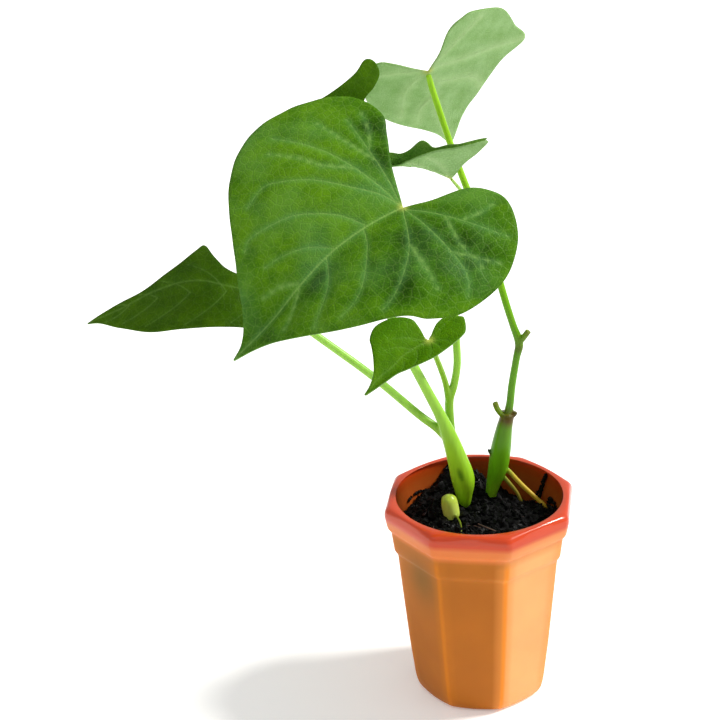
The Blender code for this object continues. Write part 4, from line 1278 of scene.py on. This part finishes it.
def fresh_leaf(name, settings, look):
    """Fresh leaf blade, grown: waxy upper face with a soft sheen, partly painted as a bluish reflection
    along its veins, paler dull under face.
    """
    material, tree, shader = new_material("fresh_leaf_" + name)
    face_side, vein, halo, tone, joint = [
        add_node(tree, "ShaderNodeAttribute", "Fac", attribute_name=key)
        for key in ("side", "vein", "halo", "tone", "joint")
    ]
    flat = add_node(tree, "ShaderNodeUVMap", "UV", uv_map="flat_leaf")
    # The map holds decimetres, so scale 42 gives cells of about 2.4 mm and 120 of about 0.8 mm
    edges = {"feature": "DISTANCE_TO_EDGE", "voronoi_dimensions": "2D"}
    cells, small_cells = [
        add_node(tree, "ShaderNodeTexVoronoi", "Distance", {"Vector": flat, "Scale": scale}, **edges)
        for scale in (42.0, 120.0)
    ]
    net = add_node(tree, "ShaderNodeMapRange", "Result", (cells, 0.0, 0.12, 1.0, 0.0))
    cloudy = {"Vector": flat, "Scale": 14.0, "Detail": 6.0, "Roughness": 0.65}
    clouds = add_node(tree, "ShaderNodeTexNoise", "Fac", cloudy)
    wash = add_node(tree, "ShaderNodeTexNoise", "Fac", {"Vector": flat, "Scale": 5.0, "Detail": 3.0})
    # The tone attribute brings the painted light and shade of the patches into the blade's tones
    shade = add_node(tree, "ShaderNodeMath", 0, (clouds, tone), operation="ADD")
    shade = add_node(tree, "ShaderNodeMath", 0, (small_cells, 0.3, shade), operation="MULTIPLY_ADD")
    # Painted sheen: a bluish reflection laid on the upper face along the veins and in broad patches
    sheen = add_node(tree, "ShaderNodeMapRange", "Result", (wash, 0.45, 0.7, 0.0, 0.35))
    added = {"operation": "MULTIPLY_ADD", "use_clamp": True}
    sheen = add_node(tree, "ShaderNodeMath", 0, (halo, 0.32, sheen), **added)
    # For each face its tones, and then where a tint lies, how much of it and the tint
    sides = (
        (
            ((0.3, look["under_dark"]), (0.7, look["under"])),
            ((halo, 0.45, look["under_vein"]), (vein, 0.55, look["under_vein"])),
        ),
        (
            ((0.16, look["deep"]), (0.42, look["dark"]), (0.72, look["light"])),
            (
                (sheen, look["sheen"], settings.sheen),
                (net, look["net"], settings.vein),
                (vein, look["vein"], settings.vein),
            ),
        ),
    )
    faces = []
    clamped = {"operation": "MULTIPLY", "use_clamp": True}
    for stops, layers in sides:
        face = set_stops(add_node(tree, "ShaderNodeValToRGB", "Color", {"Fac": shade}), stops)
        for place, most, tint in layers:
            amount = add_node(tree, "ShaderNodeMath", 0, (place, most), **clamped)
            face = laid_over(tree, face, ((amount, tint),))
        faces.append(face)
    under, upper = faces
    relief = add_node(tree, "ShaderNodeMath", 0, (net, -0.6, small_cells), operation="MULTIPLY_ADD")
    bump = {"Strength": 0.4, "Distance": 0.0003, "Height": relief}
    surface = {
        "Base Color": laid_over(tree, under, ((face_side, upper), (joint, settings.joint))),
        "Roughness": add_node(
            tree, "ShaderNodeMapRange", "Result", (face_side, 0.0, 1.0, UNDER_ROUGHNESS, UPPER_ROUGHNESS)
        ),
        "Normal": add_node(tree, "ShaderNodeBump", "Normal", bump),
        "Specular IOR Level": 0.06,
    }
    set_inputs(tree, shader, surface)
    return material


def blade_mesh(name, leaf, material, settings):
    """The blade as a closed shell that sinks along its veins, with grooves above and ribs below."""
    places, faces, outline, veins = blade_layout(name, leaf)
    u, v = places[:, 0], places[:, 1]
    face = leaf_surface(leaf, u, v)
    small = 0.05
    ahead = leaf_surface(leaf, u + small, v) - leaf_surface(leaf, u - small, v)
    aside = leaf_surface(leaf, u, v + small) - leaf_surface(leaf, u, v - small)
    normal = np.cross(ahead, aside)
    normal /= np.linalg.norm(normal, axis=1)[:, None]
    strength, nearest = vein_depth(places, veins)
    edge = away_from(places, outline)
    inner = 1.0 - np.exp(-edge / EDGE_REACH)
    sunk = -settings.quilt / MM * np.exp(-((nearest / QUILT_REACH) ** 2)) * inner
    ripple = np.array([noise.noise(Vector((a * WAVE_SCALE, b * WAVE_SCALE, 2.0))) for a, b in places])
    wave = EDGE_WAVE * (ripple - 0.5) * np.exp(-edge / WAVE_REACH)
    # The blade lies still along its midrib, where it folds
    along_midrib = np.exp(-np.abs(v) / MIDRIB_REACH) * (u > 0)
    height = (sunk + wave) * (1.0 - along_midrib)
    upper = face + normal * (height - GROOVE_DEPTH * strength * inner)[:, None]
    lower = face + normal * (height - settings.thickness / MM - RIB_DEPTH * strength * inner)[:, None]
    total = len(places)
    under = [tuple(total + i for i in reversed(f)) for f in faces]
    wall = [(b, a, total + a, total + b) for a, b in rim_edges(faces)]
    mesh = mesh_from(name + "_blade", np.vstack([upper, lower]), faces + under + wall, material)
    outwards(mesh)
    # Painted light and shade, and partly the blade's own tone, from the patches
    tone = np.zeros(total)
    for x, y, spread, amount in LIGHT_SHADE_AND_TONE_PATCHES.get(name, ()):
        tone += amount * np.exp(-(((u - x) ** 2 + (v - y) ** 2) / spread**2))
    add_values(mesh, "side", np.repeat([1.0, 0.0], total))
    add_values(mesh, "vein", np.tile(strength, 2))
    reach = HALO_REACH.get(name, HALO_REACH_OTHERS)
    add_values(mesh, "halo", np.tile(np.exp(-((nearest / reach) ** 2)), 2))
    add_values(mesh, "tone", np.tile(tone, 2))
    joint = 0.8 * np.exp(-((np.hypot(u, v) / JOINT_REACH) ** 2))
    add_values(mesh, "joint", np.tile(joint, 2))
    layer = mesh.uv_layers.new(name="flat_leaf")
    used = np.empty(len(mesh.loops), np.int32)
    mesh.loops.foreach_get("vertex_index", used)
    flat = np.tile(places, (2, 1))[used] / 100.0
    layer.data.foreach_set("uv", flat.astype(np.float32).ravel())
    return mesh


class VINE_OT_leaves(bpy.types.Operator):
    """Build the six leaf blades"""

    bl_idname = "vine.leaves"
    bl_label = "Leaves"

    def execute(self, context):
        settings = context.scene.vine_leaves
        for name, leaf in LEAVES.items():
            look = {**dict(zip(LOOK_KEYS, LOOKS[name])), **UNDER_COLOURS}
            look = {key: linear(value) if isinstance(value, str) else value for key, value in look.items()}
            mesh = blade_mesh(name, leaf, fresh_leaf(name, settings, look), settings)
            finished_piece(name + "_blade", mesh, name)
        return {"FINISHED"}


# Stage


def pale_floor(settings):
    """Seamless paper, rolled: even, matt and nearly white."""
    material, tree, shader = new_material("seamless_paper")
    place = add_node(tree, "ShaderNodeTexCoord", "Object")
    tooth = add_node(tree, "ShaderNodeTexNoise", "Fac", {"Vector": place, "Scale": 400.0, "Detail": 2.0})
    relief = {"Strength": 0.02, "Distance": 0.0001, "Height": tooth}
    look = {
        "Normal": add_node(tree, "ShaderNodeBump", "Normal", relief),
        "Base Color": settings.floor,
        "Roughness": 0.9,
        "Specular IOR Level": 0.1,
        "Emission Color": WHITE,
        "Emission Strength": 0.22,
    }
    set_inputs(tree, shader, look)
    return material


def add_light(name, data, place, power, colour):
    data.energy = power
    data.color = colour
    light = placed_object(name, data)
    light.location = place
    light.rotation_euler = (Vector(STAGE_MIDDLE) - Vector(place)).to_track_quat("-Z", "Y").to_euler()


class VINE_OT_stage(bpy.types.Operator):
    """Build the floor, the lights and the camera"""

    bl_idname = "vine.stage"
    bl_label = "Stage"

    def execute(self, context):
        settings = context.scene.vine_stage
        mesh = bpy.data.meshes.new("floor")
        points = [(x * FLOOR_REACH, y * FLOOR_REACH, 0) for x, y in ((-1, -1), (1, -1), (1, 1), (-1, 1))]
        mesh.from_pydata(points, [], [(0, 1, 2, 3)])
        mesh.materials.append(pale_floor(settings))
        floor = placed_object("floor", mesh)
        key = bpy.data.lights.new("key", "SUN")
        key.angle = math.radians(KEY_WIDTH)
        add_light("key", key, KEY_PLACE, settings.sun, (1.0, 0.98, 0.93))
        fill = bpy.data.lights.new("fill", "AREA")
        fill.size = FILL_SIZE
        add_light("fill", fill, FILL_PLACE, settings.window, (0.98, 0.99, 1.0))
        world = bpy.data.worlds.new("surround")
        world.use_nodes = True
        back = world.node_tree.nodes["Background"]
        set_inputs(world.node_tree, back, {"Color": WHITE, "Strength": settings.sky})
        context.scene.world = world
        tilt = math.radians(CAMERA_TILT)
        roll = math.radians(CAMERA_ROLL)
        ahead = Vector((0.0, math.cos(tilt), -math.sin(tilt)))
        level = Vector((1.0, 0.0, 0.0))
        upright = Vector((0.0, math.sin(tilt), math.cos(tilt)))
        right = level * math.cos(roll) + upright * math.sin(roll)
        up = upright * math.cos(roll) - level * math.sin(roll)
        lens = bpy.data.cameras.new("camera")
        lens.lens = CAMERA_LENS
        lens.sensor_width = 36.0
        lens.clip_start = 0.01
        lens.clip_end = 20.0
        camera = placed_object("camera", lens)
        turn = Matrix((right, up, -ahead)).transposed().to_4x4()
        camera.matrix_world = Matrix.Translation(Vector(CAMERA_PLACE) * MM) @ turn
        context.scene.camera = camera
        context.scene.view_settings.view_transform = "Standard"
        return {"FINISHED"}


class VINE_PT_panel(bpy.types.Panel):
    """Lists the makers of the plant and its stage"""

    bl_label = "Vine"
    bl_idname = "VINE_PT_panel"
    bl_space_type = "VIEW_3D"
    bl_region_type = "UI"
    bl_category = "Vine"

    def draw(self, context):
        for operator, settings in MAKERS:
            box = self.layout.box()
            box.operator(operator.bl_idname)
            group = getattr(context.scene, settings)
            for name in group.bl_rna.properties.keys():
                if name not in ("rna_type", "name"):
                    box.prop(group, name)


MAKERS = (
    (VINE_OT_pot, "vine_pot"),
    (VINE_OT_soil, "vine_soil"),
    (VINE_OT_stems, "vine_stems"),
    (VINE_OT_leaves, "vine_leaves"),
    (VINE_OT_stage, "vine_stage"),
)
SETTINGS = (
    ("vine_pot", PotSettings),
    ("vine_soil", SoilSettings),
    ("vine_stems", StemSettings),
    ("vine_leaves", LeafSettings),
    ("vine_stage", StageSettings),
)
CLASSES = [group for _, group in SETTINGS] + [operator for operator, _ in MAKERS] + [VINE_PT_panel]


def register():
    for item in CLASSES:
        bpy.utils.register_class(item)
    for name, group in SETTINGS:
        setattr(bpy.types.Scene, name, bpy.props.PointerProperty(type=group))


def unregister():
    for name, _ in SETTINGS:
        delattr(bpy.types.Scene, name)
    for item in reversed(CLASSES):
        bpy.utils.unregister_class(item)


def main():
    register()
    for operator, _ in MAKERS:
        group, name = operator.bl_idname.split(".")
        getattr(getattr(bpy.ops, group), name)()


if __name__ == "__main__":
    main()
